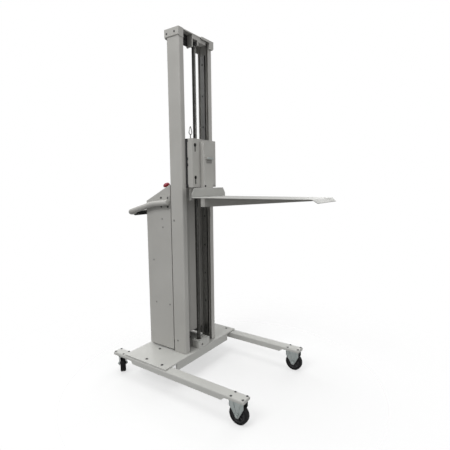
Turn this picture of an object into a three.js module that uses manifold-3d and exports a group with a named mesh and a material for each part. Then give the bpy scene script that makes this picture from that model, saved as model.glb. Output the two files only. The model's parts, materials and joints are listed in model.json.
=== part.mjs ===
// A mobile mast lift: two channel posts on a wheeled base, a carriage that a screw drives up and down
// between them, a flat load platform on the carriage, and a drive and battery housing with a push
// handle behind the mast. Millimetres, +Z up. The platform points along -Y, the handle along +Y.
// "left" and "right" are the operator's, who stands at the handle and looks along -Y: left is +X.
//
// Sizes along Y are counted from the middle of the mast. The exported group is moved along Y, so that
// its origin is on the floor in the middle of the whole object.
import * as THREE from "three";
import { mergeVertices } from "three/addons/utils/BufferGeometryUtils.js";
import Module from "manifold-3d";

const wasm = await Module();
wasm.setup();

// ---------------------------------------------------------------- driving dimensions
const GAP = 0.3; // clearance kept between pieces that touch

// overall
const TOTAL_HEIGHT = 1950;
const PLATFORM_TIP_Y = -812;
const HANDLE_TIP_Y = 398;

// casters
const WHEEL_RADIUS = 50;
const TREAD_HALF_WIDTH = 16;
const WHEEL_SIDES = 32;
const CASTER_X = 308;
const FRONT_CASTER_Y = -517;
const REAR_CASTER_Y = 310;
const REAR_TRAIL = 35;
const REAR_TURN = THREE.MathUtils.degToRad(38.4);
const FORK_HALF_GAP = 18;
const FORK_SHEET = 2.5;

// base
const PLATE_TOP = 146;
const PLATE_SHEET = 8;
const PLATE_HALF_WIDTH = 335;
const PLATE_FRONT_Y = -68;
const PLATE_REAR_Y = 254;
const SKIRT_HALF_WIDTH = 245;
const SKIRT_BOTTOM = 98;
const LEG_OUTER_X = 338;
const LEG_INNER_X = 278;
const LEG_SHEET = 4;
const LEG_TOP = PLATE_TOP - PLATE_SHEET - GAP;
const LEG_BOTTOM = 104;
const LEG_NOTCH_Z = 120;
const LEG_FRONT_Y = -559;
const LEG_REAR_Y = 352;
const LEG_DEEP_Y = [-451, 201]; // the ends of the deeper middle stretch, between the casters
const LEG_DEEP_SLOPE = [19, 10];
const LEG_EDGE = 8; // radius of the folds along the top

// mast
const POST_OUTER_X = 143;
const POST_INNER_X = 108;
const POST_REAR_LIP_X = 125; // the rear flange is the shorter one
const POST_CORNER = 9;
const POST_HALF_DEPTH = 45.5;
const POST_SHEET = 5;
const HEAD_HEIGHT = 48;
const HEAD_SHEET = 6;
const HEAD_BOTTOM = TOTAL_HEIGHT - HEAD_HEIGHT;
const POST_TOP = TOTAL_HEIGHT - HEAD_SHEET - GAP;

// drive
const SCREW_Y = -26;
const SCREW_RADIUS = 11.5;
const JOURNAL_RADIUS = 8;
const MOTOR_Y = 150;
const SCREW_PULLEY_RADIUS = 27;
const MOTOR_PULLEY_RADIUS = 18;
const BELT_Z = [113, 125];

// carriage and platform, drawn at the height where they rest
const CARRIAGE_HALF_WIDTH = 105;
const CARRIAGE_Z = [1108, 1374];
const CARRIAGE_FRONT_Y = -92;
const CARRIAGE_PLATE = 14;
const CARRIAGE_SHEET = 4;
const BAR_HALF_WIDTH = 40;
const BAR_FRONT_Y = -121;
const BAR_Z = [997, 1360];
const TRAY_TOP = 1054;
const TRAY_SHEET = 3;
const TRAY_HALF_WIDTH = 155;
const TRAY_FOLD_HALF_WIDTH = 134;
const TRAY_TIP_HALF_WIDTH = 120;
const TRAY_FRONT_Y = -788;
const LIP_HEIGHT = 51;

// housing, panel and handle
const HOUSING_SHEET = 2.5;
const HOUSING_FRONT_Y = 46.3;
const HOUSING_REAR_Y = 239;
const HOUSING_BOTTOM = 155;
const HOUSING_LOW_TOP = 1030;
const HOUSING_HIGH_TOP = 1125;
const CLOSURE_BOTTOM = 214; // the belt and motor bay is open at the front below this
const HANDLE_RADIUS = 16;
const HANDLE_PLATE = 4;
const GRIP_HALF_LENGTH = 112;
const GRIP_SKIN = 2;

// ---------------------------------------------------------------- finishes
const finish = (color, roughness, metalness) => ({ color, roughness, metalness });
const POWDER_COAT = finish(0xbcbab4, 0.5, 0.1);
const PALE_COAT = finish(0xd2d2cc, 0.5, 0.1);
const ZINC = finish(0xb9c1c4, 0.35, 0.8);
const STEEL = finish(0x9a9c9c, 0.3, 0.9);
const DARK_STEEL = finish(0x35373a, 0.4, 0.7);
const BLACK_RUBBER = finish(0x141414, 0.8, 0);
const BLACK_PLASTIC = finish(0x1d1d1f, 0.6, 0);
const BRONZE = finish(0x9c7a43, 0.4, 0.7);
const CRIMSON = finish(0x9c2f46, 0.4, 0);
const GREEN = finish(0x3f8a4c, 0.4, 0);
const RED = finish(0xa83a3a, 0.4, 0);

// ---------------------------------------------------------------- shapes
const X_AXIS = new THREE.Vector3(1, 0, 0);
const Y_AXIS = new THREE.Vector3(0, 1, 0);
const Z_AXIS = new THREE.Vector3(0, 0, 1);

// How a flat outline stands before it is drawn out: its two directions, and the one it is drawn along.
const STANDING = {
  x: new THREE.Matrix4().makeBasis(Y_AXIS, Z_AXIS, X_AXIS),
  y: new THREE.Matrix4().makeBasis(X_AXIS, Z_AXIS, Y_AXIS.clone().negate()),
  z: new THREE.Matrix4(),
};

// A prism along an axis. The outline's points are (y, z) for x, (x, z) for y and (x, y) for z.
function prism(axis, outline, from, to) {
  const shape = new THREE.Shape(outline.map(([a, b]) => new THREE.Vector2(a, b)));
  const geometry = new THREE.ExtrudeGeometry(shape, { depth: to - from, bevelEnabled: false });
  geometry.applyMatrix4(STANDING[axis]);
  const start = { x: [from, 0, 0], y: [0, to, 0], z: [0, 0, from] }[axis];
  return geometry.translate(...start);
}

function box([x0, x1], [y0, y1], [z0, z1]) {
  const geometry = new THREE.BoxGeometry(x1 - x0, y1 - y0, z1 - z0);
  return geometry.translate((x0 + x1) / 2, (y0 + y1) / 2, (z0 + z1) / 2);
}

// A round or many-sided bar from one point to another.
function rod(radius, from, to, sides = 18) {
  const start = new THREE.Vector3(...from);
  const along = new THREE.Vector3(...to).sub(start);
  const geometry = new THREE.CylinderGeometry(radius, radius, along.length(), sides);
  geometry.translate(0, along.length() / 2, 0);
  geometry.applyQuaternion(new THREE.Quaternion().setFromUnitVectors(Y_AXIS, along.normalize()));
  return geometry.translate(...from);
}

// A body turned about the Z axis from (radius, height) points that start and end on the axis or close.
function turned(profile, sides = 20) {
  const points = profile.map(([radius, height]) => new THREE.Vector2(radius, height));
  return new THREE.LatheGeometry(points, sides, Math.PI / sides).rotateX(Math.PI / 2);
}

function tube(path, radius, steps, sides = 10) {
  const section = new THREE.Shape(arc(0, 0, radius, 0, 360 - 360 / sides, sides - 1));
  return new THREE.ExtrudeGeometry(section, { steps, extrudePath: path, bevelEnabled: false });
}

// Points of an arc, angles in degrees.
function arc(centreA, centreB, radius, from, to, steps) {
  return Array.from({ length: steps + 1 }, (_, step) => {
    const angle = THREE.MathUtils.degToRad(from + ((to - from) * step) / steps);
    return new THREE.Vector2(centreA + radius * Math.cos(angle), centreB + radius * Math.sin(angle));
  });
}
const pairs = (points) => points.map((point) => [point.x, point.y]);

// A rectangle whose four corners are rounded.
function roundedRectangle([a0, a1], [b0, b1], radius, steps = 5) {
  return [
    ...pairs(arc(a1 - radius, b1 - radius, radius, 0, 90, steps)),
    ...pairs(arc(a0 + radius, b1 - radius, radius, 90, 180, steps)),
    ...pairs(arc(a0 + radius, b0 + radius, radius, 180, 270, steps)),
    ...pairs(arc(a1 - radius, b0 + radius, radius, 270, 360, steps)),
  ];
}

// ---------------------------------------------------------------- joining and cutting
function toSolid(geometry) {
  const plain = geometry.clone();
  plain.deleteAttribute("normal");
  plain.deleteAttribute("uv");
  const merged = mergeVertices(plain, 1e-4);
  return new wasm.Manifold(
    new wasm.Mesh({
      numProp: 3,
      vertProperties: merged.attributes.position.array,
      triVerts: new Uint32Array(merged.index.array),
    }),
  );
}

function toGeometry(solid) {
  const mesh = solid.getMesh();
  const geometry = new THREE.BufferGeometry();
  geometry.setAttribute("position", new THREE.BufferAttribute(mesh.vertProperties, 3));
  geometry.setIndex(new THREE.BufferAttribute(mesh.triVerts, 1));
  const flat = geometry.toNonIndexed();
  flat.computeVertexNormals();
  return flat;
}

const join = (first, ...rest) =>
  toGeometry(rest.reduce((whole, geometry) => whole.add(toSolid(geometry)), toSolid(first)));
const cut = (body, ...tools) =>
  toGeometry(tools.reduce((left, tool) => left.subtract(toSolid(tool)), toSolid(body)));
const common = (first, second) => toGeometry(toSolid(first).intersect(toSolid(second)));

// ---------------------------------------------------------------- the scene graph
const lift = new THREE.Group();
lift.position.y = -(PLATFORM_TIP_Y + HANDLE_TIP_Y) / 2;

function add(name, geometry, look, parent = lift) {
  const mesh = new THREE.Mesh(geometry, new THREE.MeshStandardMaterial(look));
  mesh.name = name;
  parent.add(mesh);
  return mesh;
}

// Pieces that come in left and right pairs are drawn on the left, at +X, and mirrored to the right.
function addPair(name, geometry, look, place = (mesh) => mesh) {
  for (const [side, sign] of [["left", 1], ["right", -1]]) {
    const half = new THREE.Group();
    half.scale.x = sign;
    lift.add(half);
    place(add(`${name}_${side}`, geometry, look, half));
  }
}

// ---------------------------------------------------------------- base
function basePlate() {
  const plan = [
    [-PLATE_HALF_WIDTH, PLATE_FRONT_Y],
    [PLATE_HALF_WIDTH, PLATE_FRONT_Y],
    [PLATE_HALF_WIDTH, PLATE_REAR_Y],
    [-PLATE_HALF_WIDTH, PLATE_REAR_Y],
  ];
  const plate = prism("z", plan, PLATE_TOP - PLATE_SHEET, PLATE_TOP);
  const across = [-SKIRT_HALF_WIDTH, SKIRT_HALF_WIDTH];
  const down = [SKIRT_BOTTOM, PLATE_TOP - PLATE_SHEET / 2];
  const frontSkirt = box(across, [PLATE_FRONT_Y, PLATE_FRONT_Y + PLATE_SHEET], down);
  const rearSkirt = box(across, [PLATE_REAR_Y - PLATE_SHEET, PLATE_REAR_Y], down);
  const screwHole = rod(JOURNAL_RADIUS + 3, [0, SCREW_Y, SKIRT_BOTTOM], [0, SCREW_Y, PLATE_TOP + 1]);
  const motorHole = rod(14, [0, MOTOR_Y, SKIRT_BOTTOM], [0, MOTOR_Y, PLATE_TOP + 1]);
  return cut(join(plate, frontSkirt, rearSkirt), screwHole, motorHole);
}

// A channel that opens downwards, with round folds along the top. Its sides are cut back over the
// casters. Its ends are closed, but for a drain notch in the inner lower corner of the front end.
function leg() {
  const side = [
    [LEG_FRONT_Y, LEG_TOP],
    [LEG_FRONT_Y, LEG_NOTCH_Z],
    [LEG_DEEP_Y[0], LEG_NOTCH_Z],
    [LEG_DEEP_Y[0] + LEG_DEEP_SLOPE[0], LEG_BOTTOM],
    [LEG_DEEP_Y[1] - LEG_DEEP_SLOPE[1], LEG_BOTTOM],
    [LEG_DEEP_Y[1], LEG_NOTCH_Z],
    [LEG_REAR_Y, LEG_NOTCH_Z],
    [LEG_REAR_Y, LEG_TOP],
  ];
  const low = LEG_BOTTOM - 10;
  const section = [
    [LEG_INNER_X, low],
    [LEG_OUTER_X, low],
    ...pairs(arc(LEG_OUTER_X - LEG_EDGE, LEG_TOP - LEG_EDGE, LEG_EDGE, 0, 90, 5)),
    ...pairs(arc(LEG_INNER_X + LEG_EDGE, LEG_TOP - LEG_EDGE, LEG_EDGE, 90, 180, 5)),
  ];
  const inside = [LEG_INNER_X + LEG_SHEET, LEG_OUTER_X - LEG_SHEET];
  const hollow = box(
    inside,
    [LEG_FRONT_Y + LEG_SHEET, LEG_REAR_Y - LEG_SHEET],
    [low, LEG_TOP - LEG_SHEET],
  );
  const drain = prism(
    "y",
    [
      [inside[0], LEG_NOTCH_Z - 1],
      [inside[0] + 9, LEG_NOTCH_Z - 1],
      [inside[0], LEG_NOTCH_Z + 12],
    ],
    LEG_FRONT_Y - 1,
    LEG_FRONT_Y + LEG_SHEET + 1,
  );
  const outside = common(
    prism("x", side, LEG_INNER_X - 1, LEG_OUTER_X + 1),
    prism("y", section, LEG_FRONT_Y - 1, LEG_REAR_Y + 1),
  );
  return cut(outside, hollow, drain);
}

add("base_plate", basePlate(), PALE_COAT);
addPair("leg", leg(), PALE_COAT);

// ---------------------------------------------------------------- casters
const FORK_TOP = LEG_TOP - LEG_SHEET - GAP;
const CASTER_PLATE_SHEET = 3;
const CASTER_PLATE_X = 25.5;
const CASTER_PLATE_Y = 37.5;
const FRONT_PLATE_REAR_Y = 47;
const AXLE_RADIUS = 4.7;
const AXLE_EAR_RADIUS = 13;
const SWIVEL_GAP_Z = 117;

// One ear of a fork: wide down to its shoulder, round about the axle, which sits at axleY.
function forkEar({ topZ, shoulderZ, ends: [front, back], axleY }) {
  return [
    [front, topZ],
    [front, shoulderZ],
    ...pairs(arc(axleY, WHEEL_RADIUS, AXLE_EAR_RADIUS, 200, 340, 8)),
    [back, shoulderZ],
    [back, topZ],
  ];
}

function forkEars(ear) {
  const outline = forkEar(ear);
  const outer = FORK_HALF_GAP + FORK_SHEET;
  const axleAt = (x) => [x, ear.axleY, WHEEL_RADIUS];
  const bore = rod(AXLE_RADIUS + 0.4, axleAt(-outer - 1), axleAt(outer + 1));
  return [
    cut(prism("x", outline, FORK_HALF_GAP, outer), bore),
    cut(prism("x", outline, -outer, -FORK_HALF_GAP), bore),
  ];
}

const mountingPlate = (rearY) =>
  box(
    [-CASTER_PLATE_X, CASTER_PLATE_X],
    [-CASTER_PLATE_Y, rearY],
    [FORK_TOP - CASTER_PLATE_SHEET, FORK_TOP],
  );

function rigidFork() {
  const ends = [-CASTER_PLATE_Y + 2, FRONT_PLATE_REAR_Y - 2];
  const ears = forkEars({ topZ: FORK_TOP - 1, shoulderZ: 90, ends, axleY: 0 });
  return join(mountingPlate(FRONT_PLATE_REAR_Y), ...ears);
}

// The swivel's fixed half: plate, bearing cup and a kingpin with a head below the fork's crown.
function swivelPlate() {
  const cupBottom = SWIVEL_GAP_Z + GAP;
  const kingpin = turned([
    [0, 105],
    [9, 105],
    [9, 109.5],
    [6, 109.5],
    [6, cupBottom],
    [21, cupBottom],
    [23, cupBottom + 4],
    [23, FORK_TOP - 1],
    [0, FORK_TOP - 1],
  ]);
  return join(mountingPlate(CASTER_PLATE_Y), kingpin);
}

function swivelFork() {
  const crownSheet = 3.5;
  const crownZ = [SWIVEL_GAP_Z - crownSheet, SWIVEL_GAP_Z];
  const half = FORK_HALF_GAP + FORK_SHEET;
  const crown = prism("z", roundedRectangle([-half, half], [-24, 34], 8), ...crownZ);
  const pinHole = rod(6.4, [0, 0, crownZ[0] - 1], [0, 0, crownZ[1] + 1]);
  const ears = forkEars({ topZ: SWIVEL_GAP_Z - 1, shoulderZ: 104, ends: [-20, 34], axleY: REAR_TRAIL });
  return join(cut(crown, pinHole), ...ears);
}

// A wheel with a raised hub, turned about its own axis and laid along X, with a flat on the floor.
function wheel() {
  const flatToCorner = 1 / Math.cos(Math.PI / WHEEL_SIDES);
  const rim = WHEEL_RADIUS * flatToCorner;
  const bore = AXLE_RADIUS + 0.5;
  const hub = FORK_HALF_GAP - 0.4;
  const half = [
    [hub, bore],
    [hub, 13],
    [TREAD_HALF_WIDTH - 5, 16],
    [TREAD_HALF_WIDTH - 5, 35],
    [TREAD_HALF_WIDTH, 38],
    [TREAD_HALF_WIDTH - 1, rim - 5],
    [TREAD_HALF_WIDTH - 7, rim],
  ];
  const profile = [
    ...half.map(([along, radius]) => [radius, -along]),
    ...half.reverse().map(([along, radius]) => [radius, along]),
  ];
  return turned([...profile, profile[0]], WHEEL_SIDES).rotateY(Math.PI / 2).translate(0, 0, WHEEL_RADIUS);
}

// A bolt through the fork with a hexagon head and a nut.
function axle() {
  const ear = FORK_HALF_GAP + FORK_SHEET + GAP;
  const end = ear + 5;
  const across = (half) => [half, 0, WHEEL_RADIUS];
  return join(
    rod(AXLE_RADIUS, across(-end), across(end)),
    rod(8, across(-end), across(-ear), 6),
    rod(8, across(ear), across(end), 6),
  );
}

const atFront = (mesh) => mesh.position.set(CASTER_X, FRONT_CASTER_Y, 0);
addPair("front_fork", rigidFork(), ZINC, atFront);
addPair("front_wheel", wheel(), BLACK_RUBBER, atFront);
addPair("front_axle", axle(), ZINC, atFront);

const atRear = (mesh) => mesh.position.set(CASTER_X, REAR_CASTER_Y, 0);
function atRearTurned(mesh) {
  atRear(mesh);
  mesh.rotation.z = REAR_TURN;
}
const trailing = (geometry) => geometry.translate(0, REAR_TRAIL, 0);
addPair("swivel_plate", swivelPlate(), ZINC, atRear);
addPair("rear_fork", swivelFork(), ZINC, atRearTurned);
addPair("rear_wheel", trailing(wheel()), BLACK_RUBBER, atRearTurned);
addPair("rear_axle", trailing(axle()), ZINC, atRearTurned);

// ---------------------------------------------------------------- mast
const RAIL_X = [122, POST_OUTER_X - POST_SHEET - GAP];
const RAIL_Y = [-4, 24];

// A channel with round outer corners that opens towards the middle of the mast, with a rib beside the
// guide rail.
function post() {
  const outline = [
    [POST_INNER_X, POST_HALF_DEPTH],
    [POST_INNER_X, -POST_HALF_DEPTH],
    ...pairs(arc(POST_OUTER_X - POST_CORNER, POST_CORNER - POST_HALF_DEPTH, POST_CORNER, 270, 360, 5)),
    ...pairs(arc(POST_OUTER_X - POST_CORNER, POST_HALF_DEPTH - POST_CORNER, POST_CORNER, 0, 90, 5)),
  ];
  const channel = prism("z", outline, PLATE_TOP + GAP, POST_TOP);
  const inside = POST_OUTER_X - POST_SHEET;
  const depth = POST_HALF_DEPTH - POST_SHEET;
  const beyond = [PLATE_TOP - 1, POST_TOP + 1];
  const ribY = [-20, -16];
  const ribReach = 18;
  const railPocket = box([POST_INNER_X - 1, inside], [ribY[1], depth], beyond);
  const trackPocket = box([POST_INNER_X - 1, inside], [-depth, ribY[0]], beyond);
  const besideRib = box([POST_INNER_X - 1, inside - ribReach], [ribY[0] - 1, ribY[1] + 1], beyond);
  const besideLip = box([POST_INNER_X - 1, POST_REAR_LIP_X], [depth - 1, POST_HALF_DEPTH + 1], beyond);
  return cut(channel, railPocket, trackPocket, besideRib, besideLip);
}

// A head across both posts. Each end is a cap over its post, open towards the middle. The plate between
// them is set back at the front, apart from its left end, which is in line with the left cap.
function head() {
  const rearY = 54;
  const rightFrontY = -48;
  const leftFrontY = -56;
  const plateFrontY = -44;
  const apronEndX = 40;
  const capOuterX = 148;
  const chamfer = 8;
  const cap = [
    [POST_INNER_X, TOTAL_HEIGHT],
    [POST_INNER_X, HEAD_BOTTOM],
    [capOuterX - chamfer, HEAD_BOTTOM],
    [capOuterX, HEAD_BOTTOM + chamfer],
    [capOuterX, TOTAL_HEIGHT],
  ];
  const otherCap = cap.map(([x, z]) => [-x, z]).reverse();
  const plateZ = [TOTAL_HEIGHT - HEAD_SHEET, TOTAL_HEIGHT];
  const between = [-POST_INNER_X - 1, POST_INNER_X + 1];
  const plate = box(between, [plateFrontY, rearY], plateZ);
  const frontLedge = box([apronEndX, between[1]], [leftFrontY, plateFrontY + 1], plateZ);
  const frontApron = box(
    [apronEndX, between[1]],
    [leftFrontY, leftFrontY + 4],
    [TOTAL_HEIGHT - 14, TOTAL_HEIGHT],
  );
  const postX = [POST_INNER_X - 1, POST_OUTER_X + GAP];
  const postY = [-POST_HALF_DEPTH - GAP, POST_HALF_DEPTH + GAP];
  const pocketZ = [HEAD_BOTTOM - 1, TOTAL_HEIGHT - HEAD_SHEET];
  const leftCap = cut(prism("y", cap, leftFrontY, rearY), box(postX, postY, pocketZ));
  const rightPocket = box([-postX[1], -postX[0]], postY, pocketZ);
  const rightCap = cut(prism("y", otherCap, rightFrontY, rearY), rightPocket);
  return join(leftCap, rightCap, plate, frontLedge, frontApron);
}

add("mast_head", head(), POWDER_COAT);
addPair("mast_post", post(), POWDER_COAT);
addPair("guide_rail", box(RAIL_X, RAIL_Y, [PLATE_TOP + 20, HEAD_BOTTOM - 20]), STEEL);

// ---------------------------------------------------------------- screw drive
const BLOCK_TOP = 188;
const TOP_BLOCK_BOTTOM = 1898;
const TOP_BLOCK_STEP = 1923; // the recess's roof, where the screw enters the block
const JOURNAL_BORE = JOURNAL_RADIUS + 0.5;

// The lower bearing's block, with a seal recess about the screw, a grease hole and a set screw's hole.
function bottomBearingBlock() {
  const block = prism("z", roundedRectangle([-40, 62], [-66, 0], 12), PLATE_TOP + GAP, BLOCK_TOP);
  const above = BLOCK_TOP + 1;
  const sealRecess = { radius: 15, depth: 9 };
  const greaseHole = { x: 30, y: -30, radius: 5, depth: 20 };
  const setScrewHole = { x: -16, z: 166, radius: 7, depth: 14 };
  const frontY = -66;
  return cut(
    block,
    rod(JOURNAL_BORE, [0, SCREW_Y, PLATE_TOP], [0, SCREW_Y, above]),
    rod(sealRecess.radius, [0, SCREW_Y, BLOCK_TOP - sealRecess.depth], [0, SCREW_Y, above]),
    rod(
      greaseHole.radius,
      [greaseHole.x, greaseHole.y, BLOCK_TOP - greaseHole.depth],
      [greaseHole.x, greaseHole.y, above],
    ),
    rod(
      setScrewHole.radius,
      [setScrewHole.x, frontY - 1, setScrewHole.z],
      [setScrewHole.x, frontY + setScrewHole.depth, setScrewHole.z],
    ),
  );
}

// The upper bearing's block, with a recess that the screw enters and a raised left end, on a web
// across the mast that hangs lower on its right.
function topBearingBlock() {
  const top = TOTAL_HEIGHT - HEAD_SHEET - GAP;
  const [rightX, leftX] = [-31, 90];
  const recess = { rightX: -25, leftX: 14 };
  const raised = { rightX: 24, z: 1918 };
  const frontY = -43;
  const boreTop = top - 6;
  const outline = [
    [rightX, TOP_BLOCK_BOTTOM],
    [recess.rightX, TOP_BLOCK_BOTTOM],
    [recess.rightX, TOP_BLOCK_STEP],
    [recess.leftX, TOP_BLOCK_STEP],
    [recess.leftX, TOP_BLOCK_BOTTOM],
    [raised.rightX, TOP_BLOCK_BOTTOM],
    [raised.rightX, raised.z],
    [leftX, raised.z],
    [leftX, top],
    [rightX, top],
  ];
  const webHalf = POST_INNER_X - 3;
  const webY = [-1, 8];
  const web = { stepX: -20, rightBottom: 1890, leftBottom: 1926 };
  const bore = rod(JOURNAL_BORE, [0, SCREW_Y, TOP_BLOCK_STEP - 1], [0, SCREW_Y, boreTop]);
  return join(
    cut(prism("y", outline, frontY, 0), bore),
    box([-webHalf, web.stepX], webY, [web.rightBottom, top]),
    box([web.stepX - 1, webHalf], webY, [web.leftBottom, top]),
  );
}

function leadScrew() {
  const pulleyEnd = BELT_Z[0] - 3;
  const screwZ = [BLOCK_TOP + 2, TOP_BLOCK_STEP - 2];
  const shape = turned([
    [0, pulleyEnd],
    [JOURNAL_RADIUS, pulleyEnd],
    [JOURNAL_RADIUS, screwZ[0]],
    [SCREW_RADIUS, screwZ[0]],
    [SCREW_RADIUS, screwZ[1]],
    [JOURNAL_RADIUS, screwZ[1]],
    [JOURNAL_RADIUS, TOTAL_HEIGHT - 20],
    [0, TOTAL_HEIGHT - 20],
  ]);
  return shape.translate(0, SCREW_Y, 0);
}

// A belt pulley with a flange above and below the belt.
function pulley(radius, bore, y) {
  const flange = radius + 3;
  const shape = turned([
    [bore, BELT_Z[0] - 2],
    [flange, BELT_Z[0] - 2],
    [flange, BELT_Z[0] - 0.5],
    [radius, BELT_Z[0] - 0.5],
    [radius, BELT_Z[1] + 0.5],
    [flange, BELT_Z[1] + 0.5],
    [flange, BELT_Z[1] + 2],
    [bore, BELT_Z[1] + 2],
    [bore, BELT_Z[0] - 2],
  ]);
  return shape.translate(0, y, 0);
}

function motorShaft() {
  const shaft = rod(7, [0, MOTOR_Y, BELT_Z[0] - 3], [0, MOTOR_Y, PLATE_TOP + 40]);
  return join(shaft, pulley(MOTOR_PULLEY_RADIUS, 6, MOTOR_Y));
}

// The outline of a belt about both pulleys, a given distance off their faces.
function beltOutline(offset) {
  const run = MOTOR_Y - SCREW_Y;
  const lean = THREE.MathUtils.radToDeg(Math.asin((SCREW_PULLEY_RADIUS - MOTOR_PULLEY_RADIUS) / run));
  return [
    ...pairs(arc(0, MOTOR_Y, MOTOR_PULLEY_RADIUS + offset, lean, 180 - lean, 12)),
    ...pairs(arc(0, SCREW_Y, SCREW_PULLEY_RADIUS + offset, 180 - lean, 360 + lean, 18)),
  ];
}

function driveBelt() {
  const belt = prism("z", beltOutline(2.4), ...BELT_Z);
  return cut(belt, prism("z", beltOutline(0.5), BELT_Z[0] - 1, BELT_Z[1] + 1));
}

const MOUNT_TOP = PLATE_TOP + GAP + 8;

function motorMount() {
  const plate = box([-62, 62], [MOTOR_Y - 62, MOTOR_Y + 62], [PLATE_TOP + GAP, MOUNT_TOP]);
  return cut(plate, rod(14, [0, MOTOR_Y, PLATE_TOP], [0, MOTOR_Y, MOUNT_TOP + 1]));
}

// The motor stands on its gearbox, whose bore takes the output shaft.
function motor() {
  const gearboxZ = [MOUNT_TOP + GAP, MOUNT_TOP + 54];
  const half = 44;
  const gearboxOutline = roundedRectangle([-half, half], [MOTOR_Y - half, MOTOR_Y + half], 8);
  const gearbox = prism("z", gearboxOutline, ...gearboxZ);
  const can = rod(40, [0, MOTOR_Y, gearboxZ[1] - 1], [0, MOTOR_Y, 350], 32);
  const bore = rod(7.5, [0, MOTOR_Y, MOUNT_TOP - 1], [0, MOTOR_Y, PLATE_TOP + 42]);
  return cut(join(gearbox, can), bore);
}

add("bottom_bearing_block", bottomBearingBlock(), PALE_COAT);
add("top_bearing_block", topBearingBlock(), POWDER_COAT);
add("lead_screw", leadScrew(), DARK_STEEL);
add("screw_pulley", pulley(SCREW_PULLEY_RADIUS, JOURNAL_RADIUS + GAP, SCREW_Y), DARK_STEEL);
add("drive_belt", driveBelt(), BLACK_RUBBER);
add("motor_mount", motorMount(), STEEL);
add("motor", motor(), DARK_STEEL);
add("motor_pulley", motorShaft(), STEEL);

// ---------------------------------------------------------------- batteries
const SHELF_Z = 420;
const BATTERY = { x: [5, 70], y: [58, 209], z: [SHELF_Z + 3, SHELF_Z + 97] };

function batteryTray() {
  const half = POST_OUTER_X - HOUSING_SHEET - GAP;
  const y = [HOUSING_FRONT_Y + 4, HOUSING_REAR_Y - HOUSING_SHEET - GAP];
  const floor = box([-half, half], y, [SHELF_Z, SHELF_Z + 2.5]);
  const ends = [1, -1].map((sign) => {
    const [inner, outer] = [half - 2.5, half];
    return box(sign > 0 ? [inner, outer] : [-outer, -inner], y, [SHELF_Z, SHELF_Z + 25]);
  });
  return join(floor, ...ends);
}

function battery() {
  const { x, y, z } = BATTERY;
  const inset = 14;
  const terminal = (at) => rod(5, [at, y[0] + inset, z[1] - 1], [at, y[0] + inset, z[1] + 7], 12);
  return join(box(x, y, z), terminal(x[0] + inset), terminal(x[1] - inset));
}

add("battery_tray", batteryTray(), STEEL);
addPair("battery", battery(), BLACK_PLASTIC);

// ---------------------------------------------------------------- housing and control panel
const PANEL_SLOPE = (HOUSING_HIGH_TOP - HOUSING_LOW_TOP) / (HOUSING_REAR_Y - HOUSING_FRONT_Y);
const PANEL_TILT = Math.atan(PANEL_SLOPE);
const PANEL_SINK = 0.5;
const panelZ = (y) => HOUSING_HIGH_TOP - PANEL_SLOPE * (y - HOUSING_FRONT_Y) - PANEL_SINK;
const INLET = { x: 85, z: 260, halfWidth: 19, halfHeight: 13 };

function housingShell() {
  const side = [
    [HOUSING_FRONT_Y, HOUSING_BOTTOM],
    [HOUSING_REAR_Y, HOUSING_BOTTOM],
    [HOUSING_REAR_Y, HOUSING_LOW_TOP],
    [HOUSING_FRONT_Y, HOUSING_HIGH_TOP],
  ];
  const inner = POST_OUTER_X - HOUSING_SHEET;
  const hollow = box(
    [-inner, inner],
    [HOUSING_FRONT_Y - 10, HOUSING_REAR_Y - HOUSING_SHEET],
    [HOUSING_BOTTOM - 10, HOUSING_HIGH_TOP + 10],
  );
  const inletHole = box(
    [INLET.x - INLET.halfWidth - GAP, INLET.x + INLET.halfWidth + GAP],
    [HOUSING_REAR_Y - 10, HOUSING_REAR_Y + 10],
    [INLET.z - INLET.halfHeight - GAP, INLET.z + INLET.halfHeight + GAP],
  );
  return cut(prism("x", side, -POST_OUTER_X, POST_OUTER_X), hollow, inletHole);
}

// A piece drawn about the Z axis with z = 0 on the control panel's face, put at x and y on the panel.
const onPanel = (geometry, x, y) => geometry.rotateX(-PANEL_TILT).translate(x, y, panelZ(y));

const ESTOP = { x: -110, y: 97, hole: 11.3 };
const UP_BUTTON = { x: -45, y: 110, hole: 8.4 };
const DOWN_BUTTON = { x: -45, y: 160, hole: 8.4 };
const KEY_SWITCH = { x: 40, y: 110, hole: 9.5 };
const GAUGE = { x: 40, y: 165, hole: 0 };
const bored = ({ x, y, hole }) => onPanel(rod(hole, [0, 0, -20], [0, 0, 20]), x, y);

// The slanted panel, with a raised ring about each push button.
function controlPanel() {
  const half = POST_OUTER_X - HOUSING_SHEET - GAP;
  const y = [HOUSING_FRONT_Y + 2.5, HOUSING_REAR_Y - HOUSING_SHEET - GAP];
  const outline = [
    [y[0], panelZ(y[0])],
    [y[1], panelZ(y[1])],
    [y[1], panelZ(y[1]) - 3],
    [y[0], panelZ(y[0]) - 3],
  ];
  const bezels = [UP_BUTTON, DOWN_BUTTON].map(({ x, y: at }) =>
    onPanel(rod(12, [0, 0, -1], [0, 0, 3.5]), x, at),
  );
  const holes = [ESTOP, UP_BUTTON, DOWN_BUTTON, KEY_SWITCH].map(bored);
  const window = onPanel(box([-17, 17], [-9, 9], [-10, 10]), GAUGE.x, GAUGE.y);
  return cut(join(prism("x", outline, -half, half), ...bezels), ...holes, window);
}

function estopBase() {
  const body = turned([
    [0, -26],
    [11, -26],
    [11, GAP],
    [15, GAP],
    [15, 9],
    [0, 9],
  ]);
  return onPanel(cut(body, rod(8.4, [0, 0, -20], [0, 0, 12])), ESTOP.x, ESTOP.y);
}

function estopButton() {
  const dome = pairs(arc(0, 17, 20, 20, 80, 6)).map(([radius, height]) => [radius, height - 2]);
  const body = turned([[0, -12], [8, -12], [8, 14], [17, 16], [19, 19], ...dome, [0, 35]], 24);
  return onPanel(body, ESTOP.x, ESTOP.y);
}

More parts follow.
